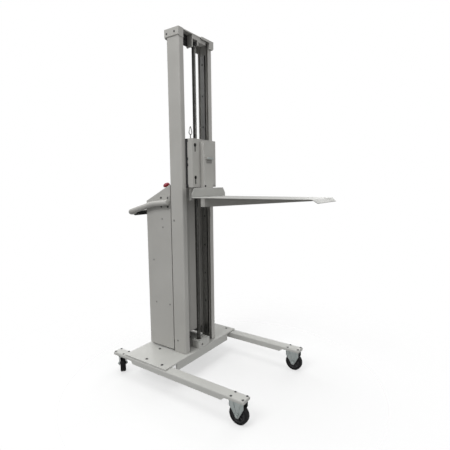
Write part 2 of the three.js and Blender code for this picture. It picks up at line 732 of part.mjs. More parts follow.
function pushButton({ x, y }) {
  return onPanel(turned([[0, -14], [8, -14], [8, 5], [6.5, 6.5], [0, 6.5]]), x, y);
}

function keySwitch() {
  const body = turned([
    [0, -28],
    [9.2, -28],
    [9.2, GAP],
    [12.5, GAP],
    [12.5, 4],
    [0, 4],
  ]);
  return onPanel(cut(body, rod(5.4, [0, 0, -20], [0, 0, 6])), KEY_SWITCH.x, KEY_SWITCH.y);
}

// A key in its barrel: a flat shank and a round bow with a hole.
function key() {
  const barrel = rod(5, [0, 0, -12], [0, 0, 4.5]);
  const shank = box([-3.5, 3.5], [-1.1, 1.1], [4, 12]);
  const bow = rod(10, [0, -1.1, 20], [0, 1.1, 20], 20);
  const ringHole = rod(3, [0, -3, 24], [0, 3, 24], 12);
  return onPanel(cut(join(barrel, shank, bow), ringHole), KEY_SWITCH.x, KEY_SWITCH.y);
}

// A socket with a flange outside the shell and a rectangular well for the charger's plug.
function chargerInlet() {
  const { x, z, halfWidth, halfHeight } = INLET;
  const faceY = HOUSING_REAR_Y + 3;
  const border = 5;
  const flange = box(
    [x - halfWidth - border, x + halfWidth + border],
    [HOUSING_REAR_Y + GAP, faceY],
    [z - halfHeight - border, z + halfHeight + border],
  );
  const body = box(
    [x - halfWidth, x + halfWidth],
    [HOUSING_REAR_Y - 36, HOUSING_REAR_Y + 1],
    [z - halfHeight, z + halfHeight],
  );
  const well = box(
    [x - halfWidth + border, x + halfWidth - border],
    [HOUSING_REAR_Y - 25, faceY + 1],
    [z - halfHeight + border, z + halfHeight - border],
  );
  return cut(join(flange, body), well);
}

add("housing_shell", housingShell(), POWDER_COAT);
const closurePanel = box(
  [-POST_OUTER_X + HOUSING_SHEET + GAP, POST_OUTER_X - HOUSING_SHEET - GAP],
  [HOUSING_FRONT_Y, HOUSING_FRONT_Y + 2],
  [CLOSURE_BOTTOM, HOUSING_HIGH_TOP - 7],
);
add("housing_front_panel", closurePanel, POWDER_COAT);
add("control_panel", controlPanel(), POWDER_COAT);
add("estop_base", estopBase(), BLACK_PLASTIC);
add("estop_button", estopButton(), CRIMSON);
add("up_button", pushButton(UP_BUTTON), GREEN);
add("down_button", pushButton(DOWN_BUTTON), RED);
add("key_switch", keySwitch(), ZINC);
add("key", key(), STEEL);
add("battery_gauge", onPanel(box([-16.5, 16.5], [-8.5, 8.5], [-12, 1.5]), GAUGE.x, GAUGE.y), BLACK_PLASTIC);
add("charger_inlet", chargerInlet(), BLACK_PLASTIC);

// ---------------------------------------------------------------- push handle
const HANDLE_BAR = { y: HANDLE_TIP_Y - HANDLE_RADIUS - GAP - GRIP_SKIN, z: 957 };
const HANDLE_ARM_X = POST_OUTER_X + GAP + HANDLE_PLATE + HANDLE_RADIUS;

// The bracket's flat plate, which the handle's arm lies against.
function handleBracket() {
  const plateX = [POST_OUTER_X + GAP, POST_OUTER_X + GAP + HANDLE_PLATE - GAP];
  return prism("x", roundedRectangle([50, 126], [988, 1064], 8, 3), ...plateX);
}

// One tube, bent down and inwards at both ends of the crossbar.
function handleBar() {
  const bend = 45;
  const armEnd = new THREE.Vector3(HANDLE_ARM_X, 52, 1025);
  const armKnee = new THREE.Vector3(HANDLE_ARM_X, 170, 1021);
  const corner = new THREE.Vector3(HANDLE_ARM_X, HANDLE_BAR.y, HANDLE_BAR.z);
  const intoCorner = corner.clone().lerp(armKnee, bend / corner.distanceTo(armKnee));
  const outOfCorner = corner.clone().add(new THREE.Vector3(-bend, 0, 0));
  const kneeBefore = armKnee.clone().lerp(armEnd, 0.4);
  const kneeAfter = armKnee.clone().lerp(corner, 0.2);
  const mirrored = (point) => point.clone().multiply(new THREE.Vector3(-1, 1, 1));
  const path = new THREE.CurvePath();
  path.add(new THREE.LineCurve3(armEnd, kneeBefore));
  path.add(new THREE.QuadraticBezierCurve3(kneeBefore, armKnee, kneeAfter));
  path.add(new THREE.LineCurve3(kneeAfter, intoCorner));
  path.add(new THREE.QuadraticBezierCurve3(intoCorner, corner, outOfCorner));
  path.add(new THREE.LineCurve3(outOfCorner, mirrored(outOfCorner)));
  path.add(new THREE.QuadraticBezierCurve3(mirrored(outOfCorner), mirrored(corner), mirrored(intoCorner)));
  path.add(new THREE.LineCurve3(mirrored(intoCorner), mirrored(kneeAfter)));
  path.add(new THREE.QuadraticBezierCurve3(mirrored(kneeAfter), mirrored(armKnee), mirrored(kneeBefore)));
  path.add(new THREE.LineCurve3(mirrored(kneeBefore), mirrored(armEnd)));
  return tube(path, HANDLE_RADIUS, 60);
}

function handleGrip() {
  const { y, z } = HANDLE_BAR;
  const end = GRIP_HALF_LENGTH;
  const sides = 24;
  const sleeve = rod(HANDLE_RADIUS + GAP + GRIP_SKIN, [-end, y, z], [end, y, z], sides);
  return cut(sleeve, rod(HANDLE_RADIUS + GAP, [-end - 1, y, z], [end + 1, y, z], sides));
}

addPair("handle_bracket", handleBracket(), POWDER_COAT);
add("handle_bar", handleBar(), POWDER_COAT);
add("handle_grip", handleGrip(), BLACK_RUBBER);

// ---------------------------------------------------------------- carriage
const FRAME_WALL = 6;
const FRAME_FRONT_Y = CARRIAGE_FRONT_Y + CARRIAGE_PLATE + GAP;
const FRAME_REAR_Y = 30;
const SHELF_TOP = 1212;
const NUT_RADIUS = 18;
const BLOCK_CENTRES = [1150, 1320];
const LOCK_PIN = { x: -88, y: -66, radius: 3.5, bottom: 1246, loopLow: 1394, loopHigh: 1441 };
const KEYHOLES = { x: 81, headZ: [1162, 1339], headRadius: 11, slotHalfWidth: 5, slotLength: 36 };

// The folded front plate that tools hang on, with a keyhole near each corner and a flange down each side.
function carriagePlate() {
  const half = CARRIAGE_HALF_WIDTH;
  const rearY = CARRIAGE_FRONT_Y + CARRIAGE_PLATE;
  const folded = cut(
    box([-half, half], [CARRIAGE_FRONT_Y, rearY], CARRIAGE_Z),
    box(
      [-half + CARRIAGE_SHEET, half - CARRIAGE_SHEET],
      [CARRIAGE_FRONT_Y + CARRIAGE_SHEET, rearY + 1],
      [CARRIAGE_Z[0] - 1, CARRIAGE_Z[1] + 1],
    ),
  );
  const { x, headZ, headRadius, slotHalfWidth, slotLength } = KEYHOLES;
  const through = [CARRIAGE_FRONT_Y - 1, CARRIAGE_FRONT_Y + CARRIAGE_SHEET + 1];
  const tools = [x, -x].flatMap((at) =>
    headZ.flatMap((z) => [
      rod(headRadius, [at, through[0], z], [at, through[1], z], 24),
      box([at - slotHalfWidth, at + slotHalfWidth], through, [z - slotLength, z]),
    ]),
  );
  return cut(folded, ...tools);
}

// A channel behind the plate, with windows behind the keyholes, a shelf for the screw's nut, a guide
// for the lock pin and a tab below that works the travel switch.
function carriageFrame() {
  const outer = CARRIAGE_HALF_WIDTH;
  const inner = outer - FRAME_WALL;
  const channel = cut(
    box([-outer, outer], [FRAME_FRONT_Y, FRAME_REAR_Y], CARRIAGE_Z),
    box(
      [-inner, inner],
      [FRAME_FRONT_Y + FRAME_WALL, FRAME_REAR_Y + 1],
      [CARRIAGE_Z[0] - 1, CARRIAGE_Z[1] + 1],
    ),
  );
  const windowHalf = 14;
  const windows = [1, -1].flatMap((sign) =>
    KEYHOLES.headZ.map((z) => {
      const x = sign * KEYHOLES.x;
      return box(
        [x - windowHalf, x + windowHalf],
        [FRAME_FRONT_Y - 1, FRAME_FRONT_Y + FRAME_WALL + 1],
        [z - KEYHOLES.slotLength - 8, z + windowHalf],
      );
    }),
  );
  const shelf = box([-inner - 1, inner + 1], [FRAME_FRONT_Y + 1, 22], [SHELF_TOP - 12, SHELF_TOP]);
  const pinGuideZ = [1256, 1286];
  const pinGuide = box([-inner - 1, LOCK_PIN.x + 8], [FRAME_FRONT_Y + 1, LOCK_PIN.y + 8], pinGuideZ);
  const tabX = [-98, -78];
  const tabY = -64;
  const tab = box(tabX, [tabY, tabY + 4], [1034, CARRIAGE_Z[0] + 2]);
  const tabFoot = box([-inner - 5, tabX[1]], [tabY, tabY + 10], [CARRIAGE_Z[0], CARRIAGE_Z[0] + 12]);
  const nutHole = rod(NUT_RADIUS + GAP, [0, SCREW_Y, SHELF_TOP - 20], [0, SCREW_Y, SHELF_TOP + 1]);
  const pinHole = rod(
    LOCK_PIN.radius + 0.5,
    [LOCK_PIN.x, LOCK_PIN.y, pinGuideZ[0] - 5],
    [LOCK_PIN.x, LOCK_PIN.y, pinGuideZ[1] + 5],
  );
  return cut(join(cut(channel, ...windows), shelf, pinGuide, tab, tabFoot), nutHole, pinHole);
}

// A plastic guide block that wraps the rail on three sides.
function guideBlock(centreZ) {
  const half = 32;
  const z = [centreZ - half, centreZ + half];
  const wrap = 8;
  const body = box([CARRIAGE_HALF_WIDTH + GAP, RAIL_X[1] - 3.7], [RAIL_Y[0] - wrap, RAIL_Y[1] + wrap], z);
  const slot = box(
    [RAIL_X[0] - GAP, RAIL_X[1] + 1],
    [RAIL_Y[0] - GAP, RAIL_Y[1] + GAP],
    [z[0] - 1, z[1] + 1],
  );
  return cut(body, slot);
}

// The screw's nut: a barrel through the shelf, with a flange that rests on it.
function screwNut() {
  const bore = SCREW_RADIUS + 0.6;
  const flange = 29;
  const bottom = SHELF_TOP - 36;
  const top = SHELF_TOP + 10;
  const shape = turned([
    [bore, bottom],
    [NUT_RADIUS, bottom],
    [NUT_RADIUS, SHELF_TOP + GAP],
    [flange, SHELF_TOP + GAP],
    [flange, top],
    [bore, top],
    [bore, bottom],
  ]);
  return shape.translate(0, SCREW_Y, 0);
}

// A rod with a finger loop above the carriage, narrow at the top and widest near its foot.
function lockPin() {
  const { x, y, radius, bottom, loopLow, loopHigh } = LOCK_PIN;
  const wire = 2.2;
  const halfWidth = 12;
  const tip = loopHigh - halfWidth / 2;
  const belly = loopLow + halfWidth + wire;
  const outline = (grow) => [
    ...pairs(arc(x, belly, halfWidth + grow, 160, 380, 12)),
    ...pairs(arc(x, tip, halfWidth / 2 - wire + grow, 20, 160, 5)),
  ];
  const loop = cut(
    prism("y", outline(wire), y - wire, y + wire),
    prism("y", outline(-wire), y - wire - 1, y + wire + 1),
  );
  return join(loop, rod(radius, [x, y, bottom], [x, y, loopLow + wire], 16));
}

add("carriage_plate", carriagePlate(), POWDER_COAT);
add("carriage_frame", carriageFrame(), POWDER_COAT);
addPair("lower_guide_block", guideBlock(BLOCK_CENTRES[0]), BLACK_PLASTIC);
addPair("upper_guide_block", guideBlock(BLOCK_CENTRES[1]), BLACK_PLASTIC);
add("screw_nut", screwNut(), BRONZE);
add("lock_pin", lockPin(), ZINC);

// ---------------------------------------------------------------- platform
const BAR_SHEET = 5;

// The upright channel that the platform hangs from, with a stop lug on its front.
function hangerBar() {
  const across = [-BAR_HALF_WIDTH, BAR_HALF_WIDTH];
  const inner = BAR_HALF_WIDTH - BAR_SHEET;
  const channel = cut(
    box(across, [BAR_FRONT_Y, CARRIAGE_FRONT_Y - GAP], BAR_Z),
    box([-inner, inner], [BAR_FRONT_Y + BAR_SHEET, CARRIAGE_FRONT_Y], [BAR_Z[0] - 1, BAR_Z[1] + 1]),
  );
  const lug = { x: [-24, 34], reach: 10, z: [1262, 1275] };
  return join(channel, box(lug.x, [BAR_FRONT_Y - lug.reach, BAR_FRONT_Y + 1], lug.z));
}

// A plate beside the bar that covers the keyholes it hooks into.
const latchPlate = () =>
  box(
    [BAR_HALF_WIDTH + GAP, 94],
    [CARRIAGE_FRONT_Y - GAP - 8, CARRIAGE_FRONT_Y - GAP],
    [1118, BAR_Z[1]],
  );

// A folded tray that narrows towards the nose: an upright lip with cut corners at the mast, a flat bed,
// and a nose bent down.
function platformTray() {
  const backY = BAR_FRONT_Y - GAP;
  const noseDrop = 17;
  const noseSheet = 2.5;
  const corner = { across: 21, down: 31 };
  const lipTop = TRAY_TOP + LIP_HEIGHT;
  const folded = prism(
    "x",
    [
      [backY, TRAY_TOP - TRAY_SHEET],
      [backY, TRAY_TOP],
      [TRAY_FRONT_Y, TRAY_TOP],
      [PLATFORM_TIP_Y, TRAY_TOP - noseDrop],
      [PLATFORM_TIP_Y + 2, TRAY_TOP - noseDrop - noseSheet],
      [TRAY_FRONT_Y + 1, TRAY_TOP - TRAY_SHEET],
    ],
    -TRAY_HALF_WIDTH,
    TRAY_HALF_WIDTH,
  );
  const plan = [
    [TRAY_HALF_WIDTH, backY + 1],
    [-TRAY_HALF_WIDTH, backY + 1],
    [-TRAY_HALF_WIDTH, backY - TRAY_SHEET],
    [-TRAY_FOLD_HALF_WIDTH, TRAY_FRONT_Y],
    [-TRAY_TIP_HALF_WIDTH, PLATFORM_TIP_Y - 1],
    [TRAY_TIP_HALF_WIDTH, PLATFORM_TIP_Y - 1],
    [TRAY_FOLD_HALF_WIDTH, TRAY_FRONT_Y],
    [TRAY_HALF_WIDTH, backY - TRAY_SHEET],
  ];
  const bed = common(folded, prism("z", plan, TRAY_TOP - 2 * noseDrop, TRAY_TOP + 1));
  const lip = prism(
    "y",
    [
      [-TRAY_HALF_WIDTH, TRAY_TOP - 1],
      [TRAY_HALF_WIDTH, TRAY_TOP - 1],
      [TRAY_HALF_WIDTH, lipTop - corner.down],
      [TRAY_HALF_WIDTH - corner.across, lipTop],
      [-TRAY_HALF_WIDTH + corner.across, lipTop],
      [-TRAY_HALF_WIDTH, lipTop - corner.down],
    ],
    backY - TRAY_SHEET,
    backY,
  );
  return join(bed, lip);
}

// A channel under the bed, open below, that tapers from the bar to the nose.
function platformBeam() {
  const sheet = 4;
  const tipY = -750;
  const tipDepth = 9;
  const top = TRAY_TOP - TRAY_SHEET - GAP;
  const backY = BAR_FRONT_Y - GAP;
  const outline = [
    [backY, top],
    [backY, BAR_Z[0]],
    [tipY, top - tipDepth],
    [tipY, top],
  ];
  const hollow = [
    [backY - sheet, top - sheet],
    [backY - sheet, BAR_Z[0] - 1],
    [tipY + sheet, top - tipDepth - 1],
    [tipY + sheet, top - sheet],
  ];
  const inner = BAR_HALF_WIDTH - sheet;
  return cut(prism("x", outline, -BAR_HALF_WIDTH, BAR_HALF_WIDTH), prism("x", hollow, -inner, inner));
}

add("hanger_bar", hangerBar(), POWDER_COAT);
add("latch_plate", latchPlate(), POWDER_COAT);
add("platform_tray", platformTray(), PALE_COAT);
add("platform_beam", platformBeam(), POWDER_COAT);

export default lift;
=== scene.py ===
import json
import math

import bmesh
import bpy
from mathutils import Matrix, Vector


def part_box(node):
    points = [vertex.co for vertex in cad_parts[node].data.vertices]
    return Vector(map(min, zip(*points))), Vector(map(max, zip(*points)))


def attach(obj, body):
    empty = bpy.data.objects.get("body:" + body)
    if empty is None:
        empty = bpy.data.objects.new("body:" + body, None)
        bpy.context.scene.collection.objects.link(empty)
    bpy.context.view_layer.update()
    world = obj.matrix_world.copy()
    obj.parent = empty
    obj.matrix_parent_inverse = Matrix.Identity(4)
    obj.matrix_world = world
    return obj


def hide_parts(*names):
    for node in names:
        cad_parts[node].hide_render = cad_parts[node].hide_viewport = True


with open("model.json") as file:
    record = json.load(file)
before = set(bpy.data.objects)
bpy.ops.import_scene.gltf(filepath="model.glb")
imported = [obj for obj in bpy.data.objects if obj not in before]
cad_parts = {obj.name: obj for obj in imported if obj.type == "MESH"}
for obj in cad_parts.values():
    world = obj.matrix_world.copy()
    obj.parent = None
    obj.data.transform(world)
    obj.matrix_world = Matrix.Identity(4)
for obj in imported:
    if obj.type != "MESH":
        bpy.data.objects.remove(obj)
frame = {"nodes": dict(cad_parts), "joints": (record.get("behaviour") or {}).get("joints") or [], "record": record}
for leftover in ("Cube", "Light", "Camera"):
    if leftover in bpy.data.objects:
        bpy.data.objects.remove(bpy.data.objects[leftover])
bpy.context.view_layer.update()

# ---- the units that shapes are drawn in
# Shapes are drawn in millimetres. X and Z are the frame's own, and Y is counted from the middle of the mast.
MM = 0.001
post_low, post_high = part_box("mast_post_left")
MAST_Y = (post_low.y + post_high.y) / 2
TO_FRAME = Matrix.Translation((0, MAST_Y, 0)) @ Matrix.Scale(MM, 4)
FROM_FRAME = TO_FRAME.inverted()
SIDES = (("left", 1), ("right", -1))
SHARP = math.radians(32)


class Span:
    """A CAD node's box, in the drawing's millimetres: its two ends along each axis."""

    def __init__(self, node):
        low, high = (FROM_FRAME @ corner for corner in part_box(node))
        self.x = (low.x, high.x)
        self.y = (low.y, high.y)
        self.z = (low.z, high.z)
        self.centre = (low + high) / 2


JOINTS = {joint["name"]: joint for joint in frame["joints"]}


def pivot(joint_name):
    """A hinge's point in the drawing's millimetres, and its direction."""
    joint = JOINTS[joint_name]
    return FROM_FRAME @ Vector(joint["pos_m"]), Vector(joint["axis"]).normalized()


def facing(at, direction, turn=0.0):
    """The place of a shape whose own Z axis points along direction, turned about that axis."""
    aim = Vector(direction).to_track_quat("Z", "Y").to_matrix().to_4x4()
    return Matrix.Translation(Vector(at)) @ aim @ Matrix.Rotation(turn, 4, "Z")


# ---- material nodes
class Nodes:
    """A material's node tree, with short calls for the nodes that the finishes share."""

    def __init__(self, name):
        self.material = bpy.data.materials.new(name)
        self.material.use_nodes = True
        self.tree = self.material.node_tree
        self.shader = self.tree.nodes["Principled BSDF"]
        self.place = self.new("ShaderNodeTexCoord").outputs["Object"]

    def new(self, kind, **settings):
        node = self.tree.nodes.new(kind)
        for key, value in settings.items():
            setattr(node, key, value)
        return node

    def feed(self, socket, value):
        if isinstance(value, bpy.types.NodeSocket):
            self.tree.links.new(value, socket)
        else:
            socket.default_value = value

    def stretched(self, scale):
        node = self.new("ShaderNodeMapping")
        self.feed(node.inputs["Vector"], self.place)
        node.inputs["Scale"].default_value = scale
        return node.outputs["Vector"]

    def noise(self, scale, detail=2.0, roughness=0.5, stretch=None):
        node = self.new("ShaderNodeTexNoise")
        self.feed(node.inputs["Vector"], self.stretched(stretch) if stretch else self.place)
        node.inputs["Scale"].default_value = scale
        node.inputs["Detail"].default_value = detail
        node.inputs["Roughness"].default_value = roughness
        return node.outputs["Fac"]

    def cells(self, scale, feature="F1"):
        node = self.new("ShaderNodeTexVoronoi", feature=feature)
        self.feed(node.inputs["Vector"], self.place)
        node.inputs["Scale"].default_value = scale
        return node.outputs["Distance"]

    def math(self, operation, first, second=0.0, clamp=False):
        node = self.new("ShaderNodeMath", operation=operation, use_clamp=clamp)
        self.feed(node.inputs[0], first)
        self.feed(node.inputs[1], second)
        return node.outputs[0]

    def span(self, value, low, high, to_low=0.0, to_high=1.0):
        node = self.new("ShaderNodeMapRange")
        self.feed(node.inputs["Value"], value)
        for key, number in (("From Min", low), ("From Max", high), ("To Min", to_low), ("To Max", to_high)):
            node.inputs[key].default_value = number
        return node.outputs["Result"]

    def mix(self, share, first, second):
        node = self.new("ShaderNodeMix", data_type="RGBA")
        self.feed(node.inputs["Factor"], share)
        for socket, value in ((node.inputs[6], first), (node.inputs[7], second)):
            self.feed(socket, value if isinstance(value, bpy.types.NodeSocket) else (*value, 1.0))
        return node.outputs[2]

    def edges(self, radius):
        """1 along convex and concave edges, within a radius in metres, and 0 on flat faces."""
        bevel = self.new("ShaderNodeBevel", samples=4)
        bevel.inputs["Radius"].default_value = radius
        geometry = self.new("ShaderNodeNewGeometry")
        dot = self.new("ShaderNodeVectorMath", operation="DOT_PRODUCT")
        self.feed(dot.inputs[0], bevel.outputs["Normal"])
        self.feed(dot.inputs[1], geometry.outputs["Normal"])
        return self.span(dot.outputs["Value"], 0.995, 0.85)

    def crevices(self, reach):
        """1 in corners that little light reaches, within a reach in metres."""
        shade = self.new("ShaderNodeAmbientOcclusion", samples=4)
        shade.inputs["Distance"].default_value = reach
        return self.span(shade.outputs["AO"], 0.9, 0.35)

    def bump(self, height, strength, depth):
        node = self.new("ShaderNodeBump")
        node.inputs["Strength"].default_value = strength
        node.inputs["Distance"].default_value = depth
        self.feed(node.inputs["Height"], height)
        self.feed(self.shader.inputs["Normal"], node.outputs["Normal"])

    def finish(self, colour, roughness, metallic=0.0, **sockets):
        base = self.shader.inputs["Base Color"]
        self.feed(base, colour if isinstance(colour, bpy.types.NodeSocket) else (*colour, 1.0))
        self.feed(self.shader.inputs["Roughness"], roughness)
        self.shader.inputs["Metallic"].default_value = metallic
        for key, value in sockets.items():
            self.shader.inputs[key.replace("_", " ")].default_value = value
        return self.material


def darker(colour, share):
    return tuple(channel * share for channel in colour)


def lighter(colour, share):
    return tuple(channel + (1 - channel) * share for channel in colour)


def powder_coat(name, colour):
    """Baked powder paint: orange peel, a slow drift in tone, scuffs, painted shade in corners made patchy by
    noise, thin worn edges.
    """
    nodes = Nodes(name)
    drift = nodes.span(nodes.noise(3.5, 4.0), 0.3, 0.7)
    tone = nodes.mix(drift, darker(colour, 0.94), lighter(colour, 0.05))
    scuffs = nodes.span(nodes.noise(42.0, 6.0, 0.7, (1.0, 1.0, 0.25)), 0.62, 0.78, 0.0, 0.35)
    marked = nodes.mix(scuffs, tone, darker(colour, 0.8))
    # Painted shade: the colour darkens in corners that the occlusion mask finds, made patchy by noise.
    crevices = nodes.crevices(0.012)
    crevice_shade = nodes.math("MULTIPLY", crevices, nodes.span(nodes.noise(28.0, 3.0), 0.25, 0.8, 0.15, 0.5))
    shaded = nodes.mix(crevice_shade, marked, darker(colour, 0.42))
    wear = nodes.math("MULTIPLY", nodes.edges(0.0011), nodes.span(nodes.noise(60.0, 4.0), 0.45, 0.65, 0.1, 0.6))
    worn = nodes.mix(wear, shaded, lighter(colour, 0.4))
    fine = nodes.noise(620.0, 1.0)
    peel = nodes.math("ADD", fine, nodes.math("MULTIPLY", nodes.cells(900.0, "SMOOTH_F1"), 0.6))
    nodes.bump(peel, 0.16, 0.0004)
    roughness = nodes.span(nodes.noise(9.0, 5.0, 0.6), 0.3, 0.75, 0.4, 0.56)
    return nodes.finish(worn, roughness, Specular_IOR_Level=0.45)


def plated_steel(name, colour, roughness, grain, tint):
    """Plated or machined steel: long grain, cloudy plating, painted shade in the corners and bright edges."""
    nodes = Nodes(name)
    clouds = nodes.span(nodes.noise(55.0, 4.0, 0.6), 0.3, 0.7)
    plated = nodes.mix(clouds, colour, tint)
    # Painted shade: the colour darkens in corners that the occlusion mask finds.
    crevice_shade = nodes.math("MULTIPLY", nodes.crevices(0.006), 0.6)
    shaded = nodes.mix(crevice_shade, plated, darker(colour, 0.3))
    bright = nodes.mix(nodes.math("MULTIPLY", nodes.edges(0.0007), 0.6), shaded, lighter(colour, 0.5))
    streaks = nodes.noise(240.0, 3.0, 0.65, grain)
    nodes.bump(streaks, 0.14, 0.0003)
    uneven = nodes.span(nodes.math("ADD", streaks, clouds), 0.5, 1.5, roughness - 0.07, roughness + 0.1)
    return nodes.finish(bright, uneven, 1.0)


def rubber(name, colour, roughness, grain):
    """Black rubber: a pebbled skin, a dusty bloom and lighter rubbed edges."""
    nodes = Nodes(name)
    bloom = nodes.span(nodes.noise(34.0, 5.0, 0.65), 0.42, 0.75, 0.0, 0.5)
    dusty = nodes.mix(bloom, colour, lighter(colour, 0.02))
    rubbed = nodes.mix(nodes.math("MULTIPLY", nodes.edges(0.0012), 0.35), dusty, lighter(colour, 0.06))
    nodes.bump(nodes.cells(grain, "SMOOTH_F1"), 0.28, 0.0003)
    uneven = nodes.span(nodes.noise(20.0, 4.0), 0.3, 0.7, roughness - 0.08, roughness + 0.1)
    return nodes.finish(rubbed, uneven, Specular_IOR_Level=0.22)


def moulded(name, colour, roughness, grain=1500.0):
    """Moulded plastic: a spark-eroded grain, faint flow marks and edges polished by handling."""
    nodes = Nodes(name)
    flow = nodes.span(nodes.noise(14.0, 3.0, 0.5, (1.0, 1.0, 3.0)), 0.3, 0.7)
    tone = nodes.mix(flow, darker(colour, 0.9), lighter(colour, 0.03))
    rubbed = nodes.mix(nodes.math("MULTIPLY", nodes.edges(0.0009), 0.4), tone, lighter(colour, 0.18))
    nodes.bump(nodes.noise(grain, 2.0), 0.12, 0.0002)
    uneven = nodes.span(nodes.noise(45.0, 4.0), 0.3, 0.7, roughness - 0.06, roughness + 0.08)
    return nodes.finish(rubbed, uneven, Specular_IOR_Level=0.5)


def lit_segment(name, colour):
    """A gauge's lens over a small lamp: tinted, glossy, with a faint grid moulded inside."""
    nodes = Nodes(name)
    grid = nodes.span(nodes.cells(2200.0), 0.1, 0.5)
    tone = nodes.mix(grid, darker(colour, 0.7), colour)
    nodes.bump(grid, 0.08, 0.0001)
    return nodes.finish(tone, 0.18, Coat_Weight=0.6)


COAT_GREY = (0.47, 0.463, 0.437)
PALE_GREY = (0.53, 0.53, 0.503)
ALONG_X = (0.04, 1.0, 1.0)
ALONG_Z = (1.0, 1.0, 0.04)
EVENLY = (1.0, 1.0, 1.0)
LOOKS = {
    "powder_coat": powder_coat("powder_coat_look", COAT_GREY),
    "pale_coat": powder_coat("pale_coat_look", PALE_GREY),
    "zinc": plated_steel("zinc_look", (0.62, 0.66, 0.645), 0.40, EVENLY, (0.50, 0.555, 0.545)),
    "steel": plated_steel("steel_look", (0.33, 0.33, 0.32), 0.38, ALONG_Z, (0.25, 0.25, 0.245)),
    "dark_steel": plated_steel("dark_steel_look", (0.10, 0.10, 0.105), 0.34, ALONG_X, (0.07, 0.07, 0.075)),
    "wheel_rubber": rubber("wheel_rubber_look", (0.006, 0.006, 0.0065), 0.46, 1100.0),
    "soft_rubber": rubber("soft_rubber_look", (0.010, 0.010, 0.010), 0.56, 1700.0),
    "black_plastic": moulded("black_plastic_look", (0.018, 0.018, 0.02), 0.46),
    "bronze": plated_steel("bronze_look", (0.50, 0.33, 0.14), 0.36, EVENLY, (0.42, 0.27, 0.11)),
    "crimson": moulded("crimson_look", (0.33, 0.018, 0.045), 0.30, 900.0),
    "green": moulded("green_look", (0.03, 0.22, 0.06), 0.30, 900.0),
    "red": moulded("red_look", (0.38, 0.03, 0.03), 0.30, 900.0),
}
BLACKENED = plated_steel("blackened_look", (0.13, 0.13, 0.13), 0.50, EVENLY, (0.09, 0.09, 0.09))
YELLOW = moulded("yellow_look", (0.62, 0.42, 0.03), 0.42, 900.0)
LAMP_GREEN = lit_segment("lamp_green_look", (0.05, 0.45, 0.10))
LAMP_AMBER = lit_segment("lamp_amber_look", (0.65, 0.32, 0.03))
LAMP_RED = lit_segment("lamp_red_look", (0.55, 0.05, 0.03))


# ---- shapes
def arc(centre, radius, start, end, steps):
    """Points of an arc in a plane, with its angles in degrees."""
    angles = [math.radians(start + (end - start) * step / steps) for step in range(steps + 1)]
    return [(centre[0] + radius * math.cos(a), centre[1] + radius * math.sin(a)) for a in angles]


def rounded(low, high, radius, steps=5):
    """A rectangle with round corners, as points in a plane."""
    (a0, b0), (a1, b1) = low, high
    return [
        *arc((a1 - radius, b1 - radius), radius, 0, 90, steps),
        *arc((a0 + radius, b1 - radius), radius, 90, 180, steps),
        *arc((a0 + radius, b0 + radius), radius, 180, 270, steps),
        *arc((a1 - radius, b0 + radius), radius, 270, 360, steps),
    ]


def circle(radius, sides):
    return arc((0, 0), radius, 0, 360 * (sides - 1) / sides, sides - 1)


class Shape:
    """A mesh under construction, in the drawing's millimetres."""

    def __init__(self):
        self.mesh = bmesh.new()
        self.paint = 0

    def ring(self, points):
        return [self.mesh.verts.new(point) for point in points]

    def level(self, place, outline, height):
        """A ring from an outline in the place's XY plane, at a height along its Z axis."""
        return self.ring(place @ Vector((a, b, height)) for a, b in outline)

    def face(self, corners):
        distinct = list(dict.fromkeys(corners))
        if len(distinct) > 2:
            made = self.mesh.faces.new(distinct)
            made.material_index = self.paint

    def skin(self, rings, round_again=True, closed=False):
        """Faces between neighbouring rings. Each ring closes on itself if round_again is true."""
        pairs = list(zip(rings, rings[1:]))
        if closed:
            pairs.append((rings[-1], rings[0]))
        for first, second in pairs:
            count = len(first)
            for i in range(count if round_again else count - 1):
                j = (i + 1) % count
                self.face([first[i], first[j], second[j], second[i]])
        return self

    def turned(self, profile, place, sides=40, closed=False):
        """A body turned about the place's Z axis, from (radius, height) points."""
        rings = []
        for radius, height in profile:
            if radius < 1e-6:
                tip = self.mesh.verts.new(place @ Vector((0, 0, height)))
                rings.append([tip] * sides)
            else:
                rings.append(self.level(place, circle(radius, sides), height))
        return self.skin(rings, closed=closed)

    def drawn(self, outline, depth, place, start=0.0):
        """A prism along the place's Z axis, from a closed outline in its XY plane."""
        rings = [self.level(place, outline, height) for height in (start, start + depth)]
        self.skin(rings)
        self.face(rings[0])
        self.face(rings[1])
        return self

    def block(self, x, y, z):
        outline = [(x[0], y[0]), (x[1], y[0]), (x[1], y[1]), (x[0], y[1])]
        return self.drawn(outline, z[1] - z[0], Matrix.Identity(4), z[0])

    def swept(self, path, radius, sides=16, closed=False):
        """A round bar along points. radius is one number, or a function of the share of the way along."""
        points = [Vector(point) for point in path]
        count = len(points)
        width = radius if callable(radius) else lambda share: radius
        across = None
        rings = []
        for i, point in enumerate(points):
            before = points[i - 1] if i or closed else point
            after = points[(i + 1) % count] if i < count - 1 or closed else point
            along = (after - before).normalized()
            if across is None:
                across = along.orthogonal().normalized()
            across = (across - along * across.dot(along)).normalized()
            other = along.cross(across)
            size = width(i / max(count - 1, 1))
            rings.append(self.ring(point + across * a + other * b for a, b in circle(size, sides)))
        self.skin(rings, closed=closed)
        if not closed:
            self.face(rings[0])
            self.face(rings[-1])
        return self


